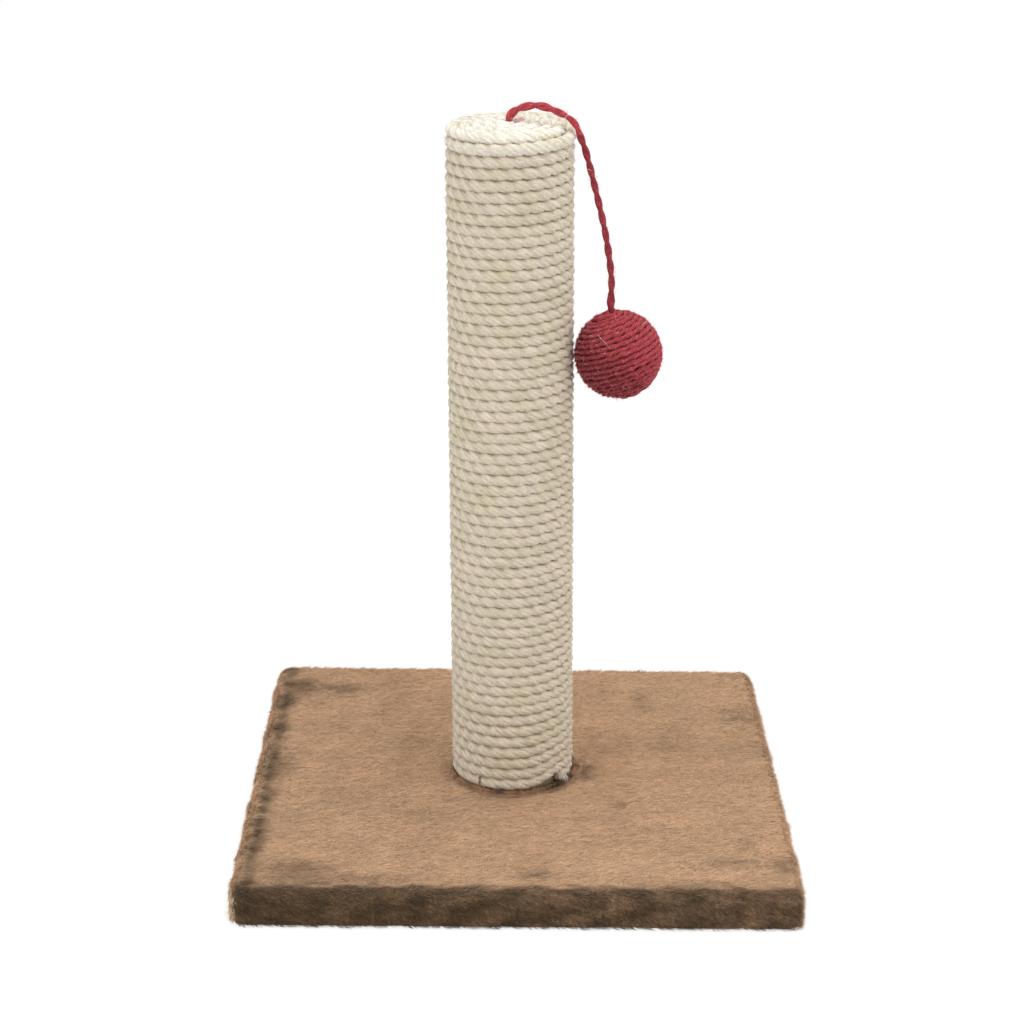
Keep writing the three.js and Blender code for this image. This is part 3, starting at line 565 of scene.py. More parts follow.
def plush_cloth(colour):
    """The cloth under the pile: the same colour, darker, with a fine fleck."""
    m = material("plush backing", colour, 0.95, Specular_IOR_Level=0.1)
    fine = noise(m, object_space(m), 900.0, 3.0)
    fleck = ramp(m, fine, [(0.3, (0.6, 0.6, 0.6)), (0.7, (1.15, 1.15, 1.15))])
    paint(m, times(m, pile_colours(m, tone(colour, 0.8)), fleck))
    bump(m, fine, 0.001, 0.8)
    return m


def fibreboard():
    """Pressed fibreboard: warm brown with fine flecks and faint layers."""
    colour = (0.42, 0.27, 0.15)
    m = material("fibreboard", colour, 0.75)
    fleck = noise(m, object_space(m), 600.0, 4.0, 0.7)
    layers = noise(m, scaled(m, object_space(m), (6, 6, 260)), 1.0, 3.0)
    body = shades(m, fleck, colour, (0.3, 0.75), (0.5, 1), (0.7, 1.2))
    paint(m, mixed(m, 0.35, body, shades(m, layers, colour, (0.3, 0.8), (0.7, 1.15))))
    bump(m, fleck, 0.0002, 0.5)
    return m


def zinc(name, colour, roughness):
    """Zinc-plated steel with brushed grain and dull patches."""
    m = material(name, colour, roughness, Metallic=1.0)
    grain = noise(m, scaled(m, object_space(m), (900, 900, 150)), 1.0, 3.0)
    dull = noise(m, object_space(m), 180.0, 3.0)
    paint(m, shades(m, dull, colour, (0.3, 0.8), (0.7, 1.1)))
    link(m, sums(m, "ADD", sums(m, "MULTIPLY", dull, 0.25), roughness - 0.1), shader_of(m).inputs["Roughness"])
    bump(m, grain, 0.00005, 0.5)
    return m


def softwood():
    """Pale wood: straight grain along X with darker late wood and fine pores."""
    colour = (0.62, 0.42, 0.24)
    m = material("softwood", colour, 0.65)
    grain = noise(m, scaled(m, object_space(m), (14, 240, 240)), 1.0, 3.0)
    pores = noise(m, scaled(m, object_space(m), (120, 1800, 1800)), 1.0, 2.0)
    body = shades(m, grain, colour, (0.3, 0.65), (0.48, 1), (0.7, 1.15))
    paint(m, mixed(m, sums(m, "MULTIPLY", pores, 0.3), body, tone(colour, 0.7)))
    bump(m, pores, 0.0001, 0.4)
    return m


def cardboard():
    """Grey-brown card of the wound tube, with its paper's fibres and cloudy tone."""
    colour = (0.36, 0.26, 0.17)
    m = material("cardboard", colour, 0.85)
    fibre = noise(m, scaled(m, object_space(m), (400, 400, 120)), 1.0, 4.0)
    cloud = noise(m, object_space(m), 40.0, 3.0)
    body = shades(m, fibre, colour, (0.3, 0.8), (0.7, 1.15))
    paint(m, mixed(m, sums(m, "MULTIPLY", cloud, 0.4), body, tone(colour, 0.85)))
    bump(m, fibre, 0.0001, 0.5)
    return m


# ---------------------------------------------------------------- operators


def rope_depth(points, axis_points, outward):
    """0 on the side that faces out of the rope's winding, 1 on the side hidden behind it."""
    return 0.5 - 0.5 * (unit(points - axis_points) * outward).sum(1)


def wound_plies(line, outward, lay, plies, offset, radius, hand, sides, phase=0.0, press=(1.0, 1.0)):
    """The plies of a rope or cord along a line, as tubes with the depth of each point in the winding.
    Press is how far the whole section is flattened outwards and widened across, since the turns are laid tight."""
    across = np.cross(unit(np.gradient(line, axis=0)), outward)
    around = np.concatenate([np.repeat(np.arange(len(line)), sides), [0, len(line) - 1]])
    parts, depths = [], []
    for centre in twisted(line, outward, lay, plies, offset, hand, phase):
        part = tube(centre, centre - line + outward * 1e-6, radius, sides)
        off = part[0] - line[around]
        for share, way in zip(press, (outward[around], across[around])):
            off = off + (share - 1) * (off * way).sum(1, keepdims=True) * way
        part = (line[around] + off, *part[1:])
        parts.append(part)
        depths.append(rope_depth(part[0], line[around], outward[around]))
    return joined(parts), np.concatenate(depths)


def wound_piece(name, made, depth, look, **values):
    """A piece of wound plies, with the values that its material reads."""
    return piece(name, made[0], made[1:3], look, along=made[3], round=made[4], ply=made[5], depth=depth, **values)


class SCRATCHPOST_OT_rope(bpy.types.Operator):
    """Sisal rope wound round the post and in a spiral over its top"""

    bl_idname = "scratchpost.rope"
    bl_label = "Sisal rope"

    def execute(self, context):
        settings = context.scene.post_settings
        lay = settings.rope_lay
        look = sisal("sisal strands", settings.rope_colour)
        points, turns = rope_route()
        run = length_along(points)
        at = np.arange(0, run[-1], lay / 12)
        line = np.stack([np.interp(at, run, points[:, k]) for k in range(3)], 1)
        turn = np.interp(at, run, turns)
        over = smoothstep((turn - ROPE_TURNS) / 0.4)
        outward = unit(unit(line * [1, 1, 0]) * (1 - over[:, None]) + UP * over[:, None])
        # laid by hand: each turn stands a little higher or lower, and the last ones are spread to meet the top
        raised = sum(
            high * smoothstep((turn - last - 0.05) / 0.2) * (1 - smoothstep((turn - last - 0.3) / 0.6))
            for last, high in ((60, 1.5), (59, 1.0), (58, 0.5))
        )
        line[:, 2] += MM * (
            0.22 * wander(len(line), 70, 12)
            + 0.1 * wander(len(line), 700, 4)
            + FOOT_LIFT * (1 - smoothstep(turn / FOOT_LIFT_TURNS))
            + 1.15 * smoothstep((turn - 57) / 4) * (1 - over)
            + raised
            - 0.75 * over * (1 - smoothstep((turn - ROPE_TURNS - 1.1) / 0.3))
            + 1.6 * smoothstep((turn - ROPE_TURNS - 1.2) / 3)
        )
        line += (MM * 0.2 * wander(len(line), 900, 3))[:, None] * outward
        size = 1 + 0.1 * over * (1 - smoothstep((turn - ROPE_TURNS - 1.0) / 0.5)) + 0.03 * wander(len(line), 500, 14)
        cuts = [0, *np.searchsorted(turn, ROPE_SPLITS), len(line) - 1]
        names = ("rope_winding_low", "rope_winding_middle", "rope_winding_high", "rope_top")
        for name, a, b in zip(names, cuts[:-1], cuts[1:]):
            part = slice(a, b + 1)
            made, depth = wound_plies(
                line[part], outward[part], lay, STRANDS, STRAND_OFFSET * size[part], STRAND_RADIUS * size[part], 1,
                STRAND_SIDES, TURN * at[a] / lay, press=ROPE_PRESS,
            )
            # painted light: the turns that reach over the top get a paler colour
            top_lit = np.repeat(smoothstep((turn[part] - TOP_LIGHT_FROM) / TOP_LIGHT_OVER), STRAND_SIDES)
            top_lit = np.tile(np.concatenate([top_lit, [0, 1]]), STRANDS)
            obj = wound_piece(name, made, depth, look, bleached=top_lit)
            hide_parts("top_rope_spiral" if name == "rope_top" else "post_rope")
            self.finish(obj)
        self.packing(look)
        self.hairs(line, outward, turn)
        self.frayed_end(line, outward)
        return {"FINISHED"}

    def finish(self, obj):
        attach(obj, "root")

    def packing(self, look):
        """Flattened fibres between the turns: a closed sleeve (r cos a, r sin a, z) between the tube and the rope's
        crests, whose radius ripples."""
        inner, crest, low, high, rings = 31.0, 34.0, 30.5, 412.0, 300
        r = np.concatenate([[inner], np.full(rings, crest), [inner]])[:, None]
        z = np.concatenate([[low], np.linspace(low, high, rings), [high]])[:, None]
        a = np.linspace(0, TURN, 120, endpoint=False)
        ripple = 0.12 * wander(len(r), 90, 77)[:, None] + 0.1 * np.sin(7 * a + 0.2 * z)
        radius = r + np.where(r > inner, ripple, 0)
        points = np.stack([radius * np.cos(a), radius * np.sin(a), np.broadcast_to(z, radius.shape)], -1).reshape(-1, 3)
        along = (points[:, 2] * 3 + 33 * np.arctan2(points[:, 1], points[:, 0])) * MM
        # painted shade: a depth value of 0.9 gives the sleeve the darkened colour of the grooves
        obj = piece(
            "rope_packing", points * MM, [closed_grid(*radius.shape)], look,
            along=along, round=points[:, 2] * 0.3, ply=along * 0, depth=along * 0 + 0.9,
        )
        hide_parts("post_rope")
        self.finish(obj)

    def hairs(self, line, outward, turn):
        """Sisal fibres that stand off the rope: most lie along it, and a few stick far out."""
        rng = np.random.default_rng(41)
        count = 13000
        spot = rng.integers(40, len(line) - 40, count)
        spot[:2400] = rng.integers(np.searchsorted(turn, ROPE_TURNS - 1), len(line) - 10, 2400)
        along = unit(line[spot + 2] - line[spot - 2])
        out = outward[spot]
        across = np.cross(along, out)
        way = rng.choice([-1.0, 1.0], (count, 1))
        around = rng.normal(0, 0.6, (count, 1))
        face = np.cos(around) * out + np.sin(around) * across
        size = MM * rng.gamma(1.8, 1.3, (count, 1)).clip(1.0, 11)
        root = line[spot] + face * 3.3 * MM
        middle = root + size * 0.5 * unit(way * along + 0.25 * face + rng.normal(0, 0.3, (count, 3)))
        tip = middle + size * 0.5 * unit(way * along * 0.8 + 0.5 * out + rng.normal(0, 0.5, (count, 3)))
        look = loose_fibre("loose sisal fibre", (0.82, 0.75, 0.6))
        obj = fibres("rope_fuzz", root, middle, tip, 0.00015, look, rng.uniform(0.2, 1, count))
        self.finish(obj)

    def frayed_end(self, line, outward):
        """The rope's first end: its strands come apart and hang down on the plush."""
        rng = np.random.default_rng(43)
        count = 300
        back = unit(line[0] - line[3])
        out = outward[0]
        spread = rng.normal(0, 1, (count, 2)) * 1.15 * MM
        root = line[2] + spread[:, :1] * out + spread[:, 1:] * UP
        size = MM * rng.uniform(2.0, 3.8, (count, 1))
        middle = root + size * unit(0.5 * back + 0.45 * out - 0.8 * UP + rng.normal(0, 0.2, (count, 3)))
        size = MM * rng.uniform(1.5, 4.0, (count, 1))
        tip = middle + size * unit(0.25 * back + 0.8 * out - 0.8 * UP + rng.normal(0, 0.3, (count, 3)))
        middle[:, 2] = np.maximum(middle[:, 2], 0.0245)
        tip[:, 2] = np.maximum(tip[:, 2], 0.0238)
        look = bpy.data.materials["loose sisal fibre"]
        obj = fibres("rope_frayed_end", root, middle, tip, 0.0004, look, rng.uniform(0.2, 1, count))
        self.finish(obj)


def red_hairs(name, line, radius, count, longest, seed, look):
    """Fine red hairs that stand off a cord, each bent once."""
    rng = np.random.default_rng(seed)
    spot = rng.integers(1, len(line) - 1, count)
    along = unit(line[spot + 1] - line[spot - 1])
    face = unit(np.cross(along, rng.normal(size=(count, 3))))
    size = MM * rng.gamma(2.0, 0.7, (count, 1)).clip(0.5, longest)
    root = line[spot] + face * radius
    lean = rng.normal(0, 0.5, (count, 1)) * along + 0.6 * face + rng.normal(0, 0.4, (count, 3))
    middle = root + size * 0.5 * unit(lean)
    curl = 0.6 * unit(rng.normal(size=(count, 3))) * np.linalg.norm(middle - root, axis=1)[:, None]
    tip = middle + size * 0.5 * unit(middle - root + curl)
    return fibres(name, root, middle, tip, 0.00017, look, rng.uniform(0.2, 1, count))


class SCRATCHPOST_OT_cord(bpy.types.Operator):
    """Red two-ply cord through the top, over the rim and down to the ball"""

    bl_idname = "scratchpost.cord"
    bl_label = "Red cord"

    def execute(self, context):
        settings = context.scene.cord_settings
        look = dyed_cord(settings.cord_colour)
        hair = loose_fibre("loose red fibre", (0.68, 0.2, 0.23))
        pale = loose_fibre("pale stray fibre", (0.85, 0.6, 0.55))
        thick = settings.cord_thickness
        centre, pole, *_ = ball_frame()
        end = centre + pole * (BALL_RADIUS - 1.2) * MM
        near = centre + pole * (BALL_RADIUS + 3.5) * MM
        over = curve_through(cord_plane(CORD_OVER_TOP), CORD_STEP)
        drop = curve_through(np.concatenate([cord_plane(CORD_TO_BALL), [near, end]]), CORD_STEP)
        lay = settings.cord_lay
        phase = -TURN * length_along(over)[-1] / lay
        # the hanging part is a little thicker, and painted darker all over as painted shade, since less light falls on
        # it than on the arch
        parts = (("cord_over_top", over, 0.0, thick, 0.0), ("cord_drop", drop, phase, 1.09 * thick, 0.72))
        for name, line, start, full, drop_shade in parts:
            side = np.broadcast_to(CORD_SIDE, line.shape)
            s = length_along(line)
            if name == "cord_over_top":
                loose = 1 + 0.42 * smoothstep((s - 0.014) / 0.008) * smoothstep((s[-1] - 0.008 - s) / 0.025)
            else:
                loose = 1 + 0.35 * smoothstep((s - s[-1] + 0.010) / 0.004)
            loose = loose * (1 + 0.06 * wander(len(line), 14, 5))
            made, _ = wound_plies(
                line, side, lay, 2, 0.22 * full * loose, 0.375 * full * (0.45 + 0.55 * loose), -1, 10, start
            )
            obj = wound_piece(name, made, np.full(len(made[0]), drop_shade), look)
            fluff = red_hairs(name + "_fuzz", line[len(line) // 6 :], 1.2 * MM, 1100, 4.5, 51, hair)
            parts = [obj, fluff]
            if name == "cord_over_top":
                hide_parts("toy_cord_top", "toy_cord_bend")
                ends = [([30.5, 9.4], [34.5, 13.6]), ([0.5, 9.2], [6.5, 10.2])]
                parts.append(self.strays("cord_over_stray", ends, pale))
                # red hairs under the arch: partly the cord's fuzzy tail, partly a painted reflection and shadow of the
                # red cord on the rope
                tail, tail_end = cord_plane([[1, 8]]), cord_plane([[9, 9]])
                under = np.linspace(0, 1, 30)[:, None] * (tail_end - tail) + tail
                parts.append(red_hairs("cord_over_tail_and_reflection", under, 0.0003, 110, 5.0, 55, hair))
                for each in parts:
                    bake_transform(each)
            else:
                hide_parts("toy_cord_drop")
                parts.append(self.strays("cord_drop_stray", [([41.5, -17.5], [48.5, -19.5])], pale))
                for each in parts:
                    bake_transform(each)
        self.knot(look)
        return {"FINISHED"}

    def strays(self, name, ends, look):
        """Pale fibres across the cord, in front of it, between two points of its plane."""
        front = -CORD_SIDE * 1.9 * MM
        root, tip = (cord_plane([e[k] for e in ends]) + front for k in (0, 1))
        middle = (root + tip) / 2 + front * 0.4
        return fibres(name, root, middle, tip, 0.00022, look, np.ones(len(ends)))

    def knot(self, look):
        """An overhand knot under the top plug: the trefoil (sin t + 2 sin 2t, cos t - 2 cos 2t, -1.6 sin 3t),
        scaled to the knot's room."""
        low, high = (np.array(v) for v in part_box("toy_cord_knot"))
        t = np.linspace(0, TURN, 130)
        loop = np.stack([np.sin(t) + 2 * np.sin(2 * t), np.cos(t) - 2 * np.cos(2 * t), -1.6 * np.sin(3 * t)], 1)
        size = (high - low) / 2 - 0.0011
        loop = (low + high) / 2 + loop / np.abs(loop).max(0) * size
        made, depth = wound_plies(loop, unit(loop - (low + high) / 2), 0.012, 2, 0.0005, 0.0007, -1, 8)
        obj = wound_piece("cord_knot", made, depth, look)
        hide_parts("toy_cord_knot")
        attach(obj, "cord_arm")


class SCRATCHPOST_OT_ball(bpy.types.Operator):
    """Ball wound with the red cord from pole to pole"""

    bl_idname = "scratchpost.ball"
    bl_label = "Wound ball"

    def execute(self, context):
        settings = context.scene.cord_settings
        look = bpy.data.materials["dyed red cord"]
        thick = settings.cord_thickness
        centre, pole, across, side = ball_frame()
        radius = 23.9 * MM
        wraps = settings.ball_wraps
        # the wraps lean further than the cord that enters the ball
        lean = np.radians(9)
        top = np.cos(lean) * pole + np.sin(lean) * across
        across = np.cos(lean) * across - np.sin(lean) * pole
        first = 1.4 / 23.5
        # the angle from the top rises evenly with the turns, so the wraps are one spacing apart
        f = np.linspace(0, 1, 24000)
        polar = first + (np.pi - 2 * first) * f
        angle = TURN * wraps * f + 0.8
        spot = (
            np.sin(polar)[:, None] * (np.cos(angle)[:, None] * across + np.sin(angle)[:, None] * side)
            + np.cos(polar)[:, None] * top
        )
        line = even_steps(centre + radius * spot, 0.0013)
        outward = unit(line - centre)
        line = (
            line
            + (wander(len(line), 260, 8) * 0.00022)[:, None] * outward
            + (wander(len(line), 200, 9) * 0.00022 + wander(len(line), 60, 19) * 0.0003)[:, None] * top
        )
        made, depth = wound_plies(line, outward, settings.cord_lay * 0.8, 2, 0.2 * thick, 0.36 * thick, -1, 8)
        # painted shade: the wraps are darkened a little all over and more on the lower side, which hangs against the
        # post
        low = unit(made[0] - centre) @ unit(np.array([-0.6, -0.1, -0.75]))
        depth = depth + 0.2 + 0.56 * smoothstep((low + 0.75) / 1.2)
        obj = wound_piece("ball_wound", made, depth, look)
        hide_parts("ball_winding")
        hair, pale = bpy.data.materials["loose red fibre"], bpy.data.materials["pale stray fibre"]
        fuzz = red_hairs("ball_fuzz", centre + (line - centre) * 1.05, 0.0004, 6500, 4.5, 61, hair)
        # pale fibres caught in the wraps on the side that faces the front: where each starts and ends, across and up
        front, right = np.array([0.0, -0.94, 0.34]), np.array([1.0, 0, 0])
        up = np.cross(front, right)
        spots = np.array([[-0.48, 0.37, -0.2, 0.05], [0.5, 0.6, 0.64, 0.7], [-0.98, 0.2, -0.84, 0.25]])
        ends = []
        for a, b in ((0, 1), (2, 3)):
            out = np.sqrt(np.maximum(1.02 - spots[:, a] ** 2 - spots[:, b] ** 2, 0))
            ends.append(centre + 25.7 * MM * (spots[:, [a]] * right + spots[:, [b]] * up + out[:, None] * front))
        middle = centre + unit(ends[0] + ends[1] - 2 * centre) * 26.4 * MM
        stray = fibres("ball_stray", ends[0], middle, ends[1], 0.0002, pale, np.array([0.9, 0.5, 0.6]))
        for each in (obj, fuzz, stray):
            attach(each, "ball")
        return {"FINISHED"}


def outline_radius(angle, half, corner):
    """Distance from the middle to a square with round corners, in each direction: half / max(|cos|, |sin|) on its
    sides, and the far side of the corner's circle at its corners."""
    c, s = np.abs(np.cos(angle)), np.abs(np.sin(angle))
    flat = half / np.maximum(c, s)
    k = half - corner
    arc = k * (c + s) + np.sqrt(np.maximum(corner**2 - (k * (c - s)) ** 2, 0))
    return np.where((flat * c > k) & (flat * s > k), arc, flat)


def lumps(x, y, size, seed):
    """Smooth lumps between -1 and 1: the sum of waves in random directions, each of about the given size."""
    rng = np.random.default_rng(seed)
    total = 0
    for _ in range(9):
        way, phase, k = rng.uniform(0, TURN), rng.uniform(0, TURN), TURN / (size * rng.uniform(0.7, 1.5))
        total = total + np.sin(k * (x * np.cos(way) + y * np.sin(way)) + phase)
    return total / 4.5


def cloth_top(x, y):
    """Height of the cloth under the pile, in millimetres."""
    return CLOTH_TOP + 0.3 * lumps(x, y, 24, 5) + 0.2 * lumps(x, y, 9, 6)


def pulled(points):
    """The cover sits a little askew on its board: each corner is moved by its own small amount, the rest follows in
    proportion, and nothing moves round the post."""
    x, y, z = np.asarray(points).T
    across, back = (x / 0.159 + 1) / 2, (y / 0.159 + 1) / 2
    high = np.clip(z / 0.022, 0, 1)
    corners = ((1 - across) * (1 - back), across * (1 - back), (1 - across) * back, across * back)
    moves = MM * np.array([[1.0, 0.8, 0], [5.0, -4.6, 0], [0.4, 3.0, 0.4], [-1.4, -2.2, -1.6]])
    move = sum(c[:, None] * m for c, m in zip(corners, moves))
    hub = smoothstep((np.hypot(x, y) - 0.045) / 0.08)
    move = move * hub[:, None]
    move[:, 2] *= high
    return points + move


# where the pile was brushed the wrong way, and at (43, -4) a painted shade beside the post's foot: place across and
# back, half widths, and how dark it is
BRUSHED_AND_SHADED = [
    (-141, 124, 9, 13, 0.46), (-116, 122, 14, 8, 0.36), (-149, 101, 6, 10, 0.4), (-145, 4, 9, 15, 0.3),
    (-149, -94, 5, 18, 0.36), (-122, -131, 20, 9, 0.36), (-100, -143, 45, 6, 0.2), (10, -137, 9, 6, 0.36),
    (62, -48, 3.0, 4, 0.42), (82, 108, 6, 12, 0.26), (143, 79, 12, 4, 0.3), (139, 90, 9, 4, 0.26),
    (118, -120, 18, 4, 0.2), (131, -98, 6, 8, 0.16), (104, -146, 22, 4, 0.22), (-149, 52, 6, 20, 0.22),
    (-148, -42, 5, 20, 0.26), (43, -4, 6, 8, 0.5), (-20, -40, 26, 4, 0.14), (-79, -142, 16, 4, 0.16),
    (149, -125, 5, 10, 0.34), (-60, 38, 16, 4, 0.07), (30, -70, 30, 6, 0.05), (100, 30, 30, 8, 0.05),
    (-60, -60, 30, 10, 0.05),
]


def pile_shade(x, y):
    """How bright the pile on the top looks, from 0 to 1: darker where it was brushed back, in a band by the left edge,
    round the foot and beside it as painted shade, and along the front edge partly from how the pile rolls over and
    partly as painted shade."""
    wx, wy = x + 3 * lumps(x, y, 13, 71), y + 3 * lumps(x, y, 13, 72)
    shade = np.ones_like(x)
    for px, py, wide, deep, dark in BRUSHED_AND_SHADED:
        shade = shade * (1 - dark * np.exp(-(((wx - px) / wide) ** 2 + ((wy - py) / deep) ** 2)))
    band = x + 1.6 * lumps(x, y, 10, 75)
    patchy = np.clip(0.75 + 0.5 * lumps(y, y * 0, 20, 73), 0, 1)
    shade = shade * (1 - 0.58 * np.exp(-(((band + 150.6) / 4.2) ** 2)) * patchy)
    # painted shade in a ring round the foot, where the pile is also pressed down
    foot = np.hypot(x, y) - 36.5
    shade = shade * (1 - 0.12 * np.exp(-((foot / 1.8) ** 2)))
    # the front edge, where the pile rolls over towards the front: partly how it lies, partly painted shade
    front = smoothstep((-145.5 + 3.2 * lumps(0.45 * x, 1.5 * y, 9, 74) - y) / 11)
    return shade * (1 - 0.62 * front)


def side_shade(x, y, nx, ny, z):
    """How bright the pile on the sides looks, from 0 to 1: dark on the front, half as dark on the back and pale on
    the left and right, with strokes along it. The dark front is partly how its pile lies and partly painted shade,
    and the pale left and right are painted light."""
    run = x + y
    strokes = (
        0.5
        + 0.42 * lumps(0.16 * run + 0.2 * z, 1.1 * z + 0.05 * run, 4.0, 81)
        + 0.3 * lumps(0.4 * run, 2.4 * z, 2.6, 83)
        + 0.22 * lumps(run, z, 22, 82)
    )
    # painted light: the front is painted lighter towards the right, and every side a little lighter higher up
    base = np.where(ny < -0.5, 0.425 + 0.055 * x / 100, np.where(ny > 0.5, 0.55, np.where(nx < 0, 0.88, 0.85)))
    return np.clip(base * (0.66 + 0.7 * strokes) * (0.99 + 0.002 * z), 0, 1)


def square_run(half, corner):
    """Angles round a square with round corners, and the length of its outline up to each."""
    fine = np.linspace(0, TURN, 7201)
    r = outline_radius(fine, half, corner)
    run = np.concatenate([[0], np.cumsum(np.hypot(np.diff(r * np.cos(fine)), np.diff(r * np.sin(fine))))])
    return fine, run


def square_normal(angle, half, corner):
    """Points of a square with round corners at those angles, and the directions out of it there."""
    r = outline_radius(angle, half, corner)
    x, y = r * np.cos(angle), r * np.sin(angle)
    k = half - corner
    n = np.stack([np.sign(x) * np.maximum(np.abs(x) - k, 0), np.sign(y) * np.maximum(np.abs(y) - k, 0)], 1)
    return x, y, unit(n)


class SCRATCHPOST_OT_plush(bpy.types.Operator):
    """Brown plush over the base, folded under as a hem, with its pile"""

    bl_idname = "scratchpost.plush"
    bl_label = "Plush cover"

    def execute(self, context):
        settings = context.scene.post_settings
        columns = 480
        fine, run = square_run(159.5, COVER_CORNER)
        angle = np.interp(np.linspace(0, run[-1], columns, endpoint=False), run, fine)
        half, edge, top = COVER_HALF, COVER_EDGE, CLOTH_TOP
        inner = 5.2
        # share of the way from the circle to the square, half width or radius, height, share of the lumps
        rows = []
        for x in np.linspace(0, 1, 6):
            rows.append((0.0, inner + (36.6 - inner) * x, 21.6, 0.0))
        rows.append((0.0, FOOT_RADIUS, 21.4, 0.2))
        # no height is given where the cloth has its own
        for x in np.linspace(0, 1, 54)[1:]:
            rows.append((smoothstep(x), FOOT_RADIUS + (half - edge - FOOT_RADIUS) * x, np.nan, 1.0))
        for a in np.linspace(0, np.pi / 2, 7)[1:]:
            rows.append((1.0, half - edge + edge * np.sin(a), top - edge + edge * np.cos(a), 1.0))
        for x in np.linspace(0, 1, 8)[1:]:
            rows.append((1.0, half, top - edge - (top - edge - 2.5) * x, 1.0))
        for a in np.linspace(0, np.pi / 2, 5)[1:]:
            rows.append((1.0, half - 2 + 2 * np.cos(a), 2.5 - 2.2 * np.sin(a), 0.6))
        for x in np.linspace(0, 1, 12)[1:]:
            rows.append((1.0, half - 2 - 25.5 * x, 0.3, 0.4))
        rows.append((1.0, 130.0, 1.4, 0.0))
        for x in np.linspace(0, 1, 4):
            rows.append((1.0, 130.5 + 25 * x, 2.8, 0.0))
        for x in np.linspace(0, 1, 4):
            rows.append((1.0, 155.5, 3.2 + 15.6 * x, 0.0))
        for x in np.linspace(0, 1, 8)[1:]:
            rows.append((1 - x, 155 + (inner - 155) * x, 19.3, 0.0))
        table = np.array(rows)
        share, size, height, lumpy = (v[:, None] for v in table.T)
        corners = [min(COVER_CORNER if h > 140 else 3.0, h / 2) for h in table[:, 1]]
        square = np.array([outline_radius(angle, h, corner) for h, corner in zip(table[:, 1], corners)])
        radius = (1 - share) * size + share * square
        x, y = radius * np.cos(angle), radius * np.sin(angle)
        z = np.where(np.isnan(height), cloth_top(x, y), height)
        push = lumpy * (share == 1) * self.edge_lumps(x, y)
        x, y = x + push * np.cos(angle), y + push * np.sin(angle)
        z = np.broadcast_to(z, x.shape)
        flat = np.stack([x, y, z], -1).reshape(-1, 3)
        quads = closed_grid(len(rows), columns)[:, [0, 3, 2, 1]]
        x, y, z = flat.T
        nx = np.where(np.abs(x) > np.abs(y), np.sign(x), 0)
        ny = np.where(np.abs(x) > np.abs(y), 0, np.sign(y))
        on_side = smoothstep((np.maximum(np.abs(x), np.abs(y)) - 153) / 5)
        shade = (1 - on_side) * pile_shade(x, y) + on_side * side_shade(x, y, nx, ny, z)
        cloth = piece("plush_backing", pulled(flat * MM), [quads], plush_cloth(settings.plush_colour), shade=shade)
        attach(cloth, "root")
        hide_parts("plush_cover")
        pile = self.pile(settings, plush_pile(settings.plush_colour))
        for tuft in pile:
            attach(tuft, "root")
        return {"FINISHED"}

    def edge_lumps(self, x, y):
        """How far the stuffed edge stands out at each place, in millimetres."""
        return 0.75 * lumps(x + y, x - y, 21, 11) + 0.6 * lumps(x - y, x + y, 9, 12)

    def pile(self, settings, look):
        """Tufts of pile: on the top they lie towards +X, at the foot they stand up, and on the sides they hang down
        and lean with the cloth."""
        rng = np.random.default_rng(21)
        long = settings.pile_length
        made = []
        count = settings.pile_count
        x, y = rng.uniform(-154, 154, (2, count))
        keep = np.hypot(x, y) > FOOT_RADIUS
        x, y = x[keep], y[keep]
        shade = pile_shade(x, y)
        swirl = 0.12 * lumps(x, y, 45, 31) + 0.24 * rng.normal(size=len(x)) - 0.05
        swirl = swirl + 0.9 * (1 - shade) * lumps(x, y, 12, 33)
        lean = np.stack([np.cos(swirl), np.sin(swirl), 0.3 + 0.12 * rng.normal(size=len(x)) + 0.3 * (1 - shade)], 1)
        size = long * rng.uniform(0.6, 1.25, len(x))[:, None]
        root = np.stack([x, y, cloth_top(x, y) - 0.2], 1) * MM
        tip = root + unit(lean) * size
        # painted light: tufts near the left edge get a paler tint, for the lit rolled edge
        tint = np.clip(rng.normal(0.52, 0.17, len(x)) + 0.3 * smoothstep((-152.5 - x) / 2), 0, 1)
        fifth = np.digitize(y, [-95, -35, 35, 95])
        for k in range(5):
            chosen = fifth == k
            ends = pulled(root[chosen]), pulled(tip[chosen])
            made.append(tufts(f"pile_top_{k + 1}", *ends, 0.00042, look, tint[chosen], shade[chosen]))
        made += self.edge_pile(rng, long, int(count * EDGE_SHARE), look)
        made.append(self.foot_pile(rng, look))
        made.append(self.lint(rng))
        return made

    def lint(self, rng):
        """A few pale fibres caught in the plush: a tangle on the front left corner, and single ones on the top."""
        n = 34
        corner = np.stack([rng.uniform(-159.5, -153, n), rng.uniform(-160.5, -158.5, n), rng.uniform(6, 23, n)], 1)
        single = [[-48, 36, 25.4], [-46, 33, 25.4], [-22, -40, 25.6], [16, -41, 25.6], [14, -42, 25.2], [90, 40, 25.3]]
        root = np.concatenate([corner, np.array(single)]) * MM
        single_way = np.array([[1, 0.6, 0.1]] * 2 + [[0.6, -1, 0]] * 3 + [[1, 1, 0]])
        way = np.concatenate([rng.normal(0, 1, (n, 3)) * [0.6, 0.35, 1], single_way])
        size = MM * np.concatenate([rng.uniform(2, 6, n), [6, 5, 5, 4, 6, 7]])[:, None]
        middle = root + 0.5 * size * unit(way)
        tip = middle + 0.5 * size * unit(way + rng.normal(0, 0.5, way.shape))
        look = loose_fibre("pale lint", (0.72, 0.62, 0.5))
        return fibres("pile_lint", root, middle, tip, 0.00018, look, rng.uniform(0.3, 1, len(root)))

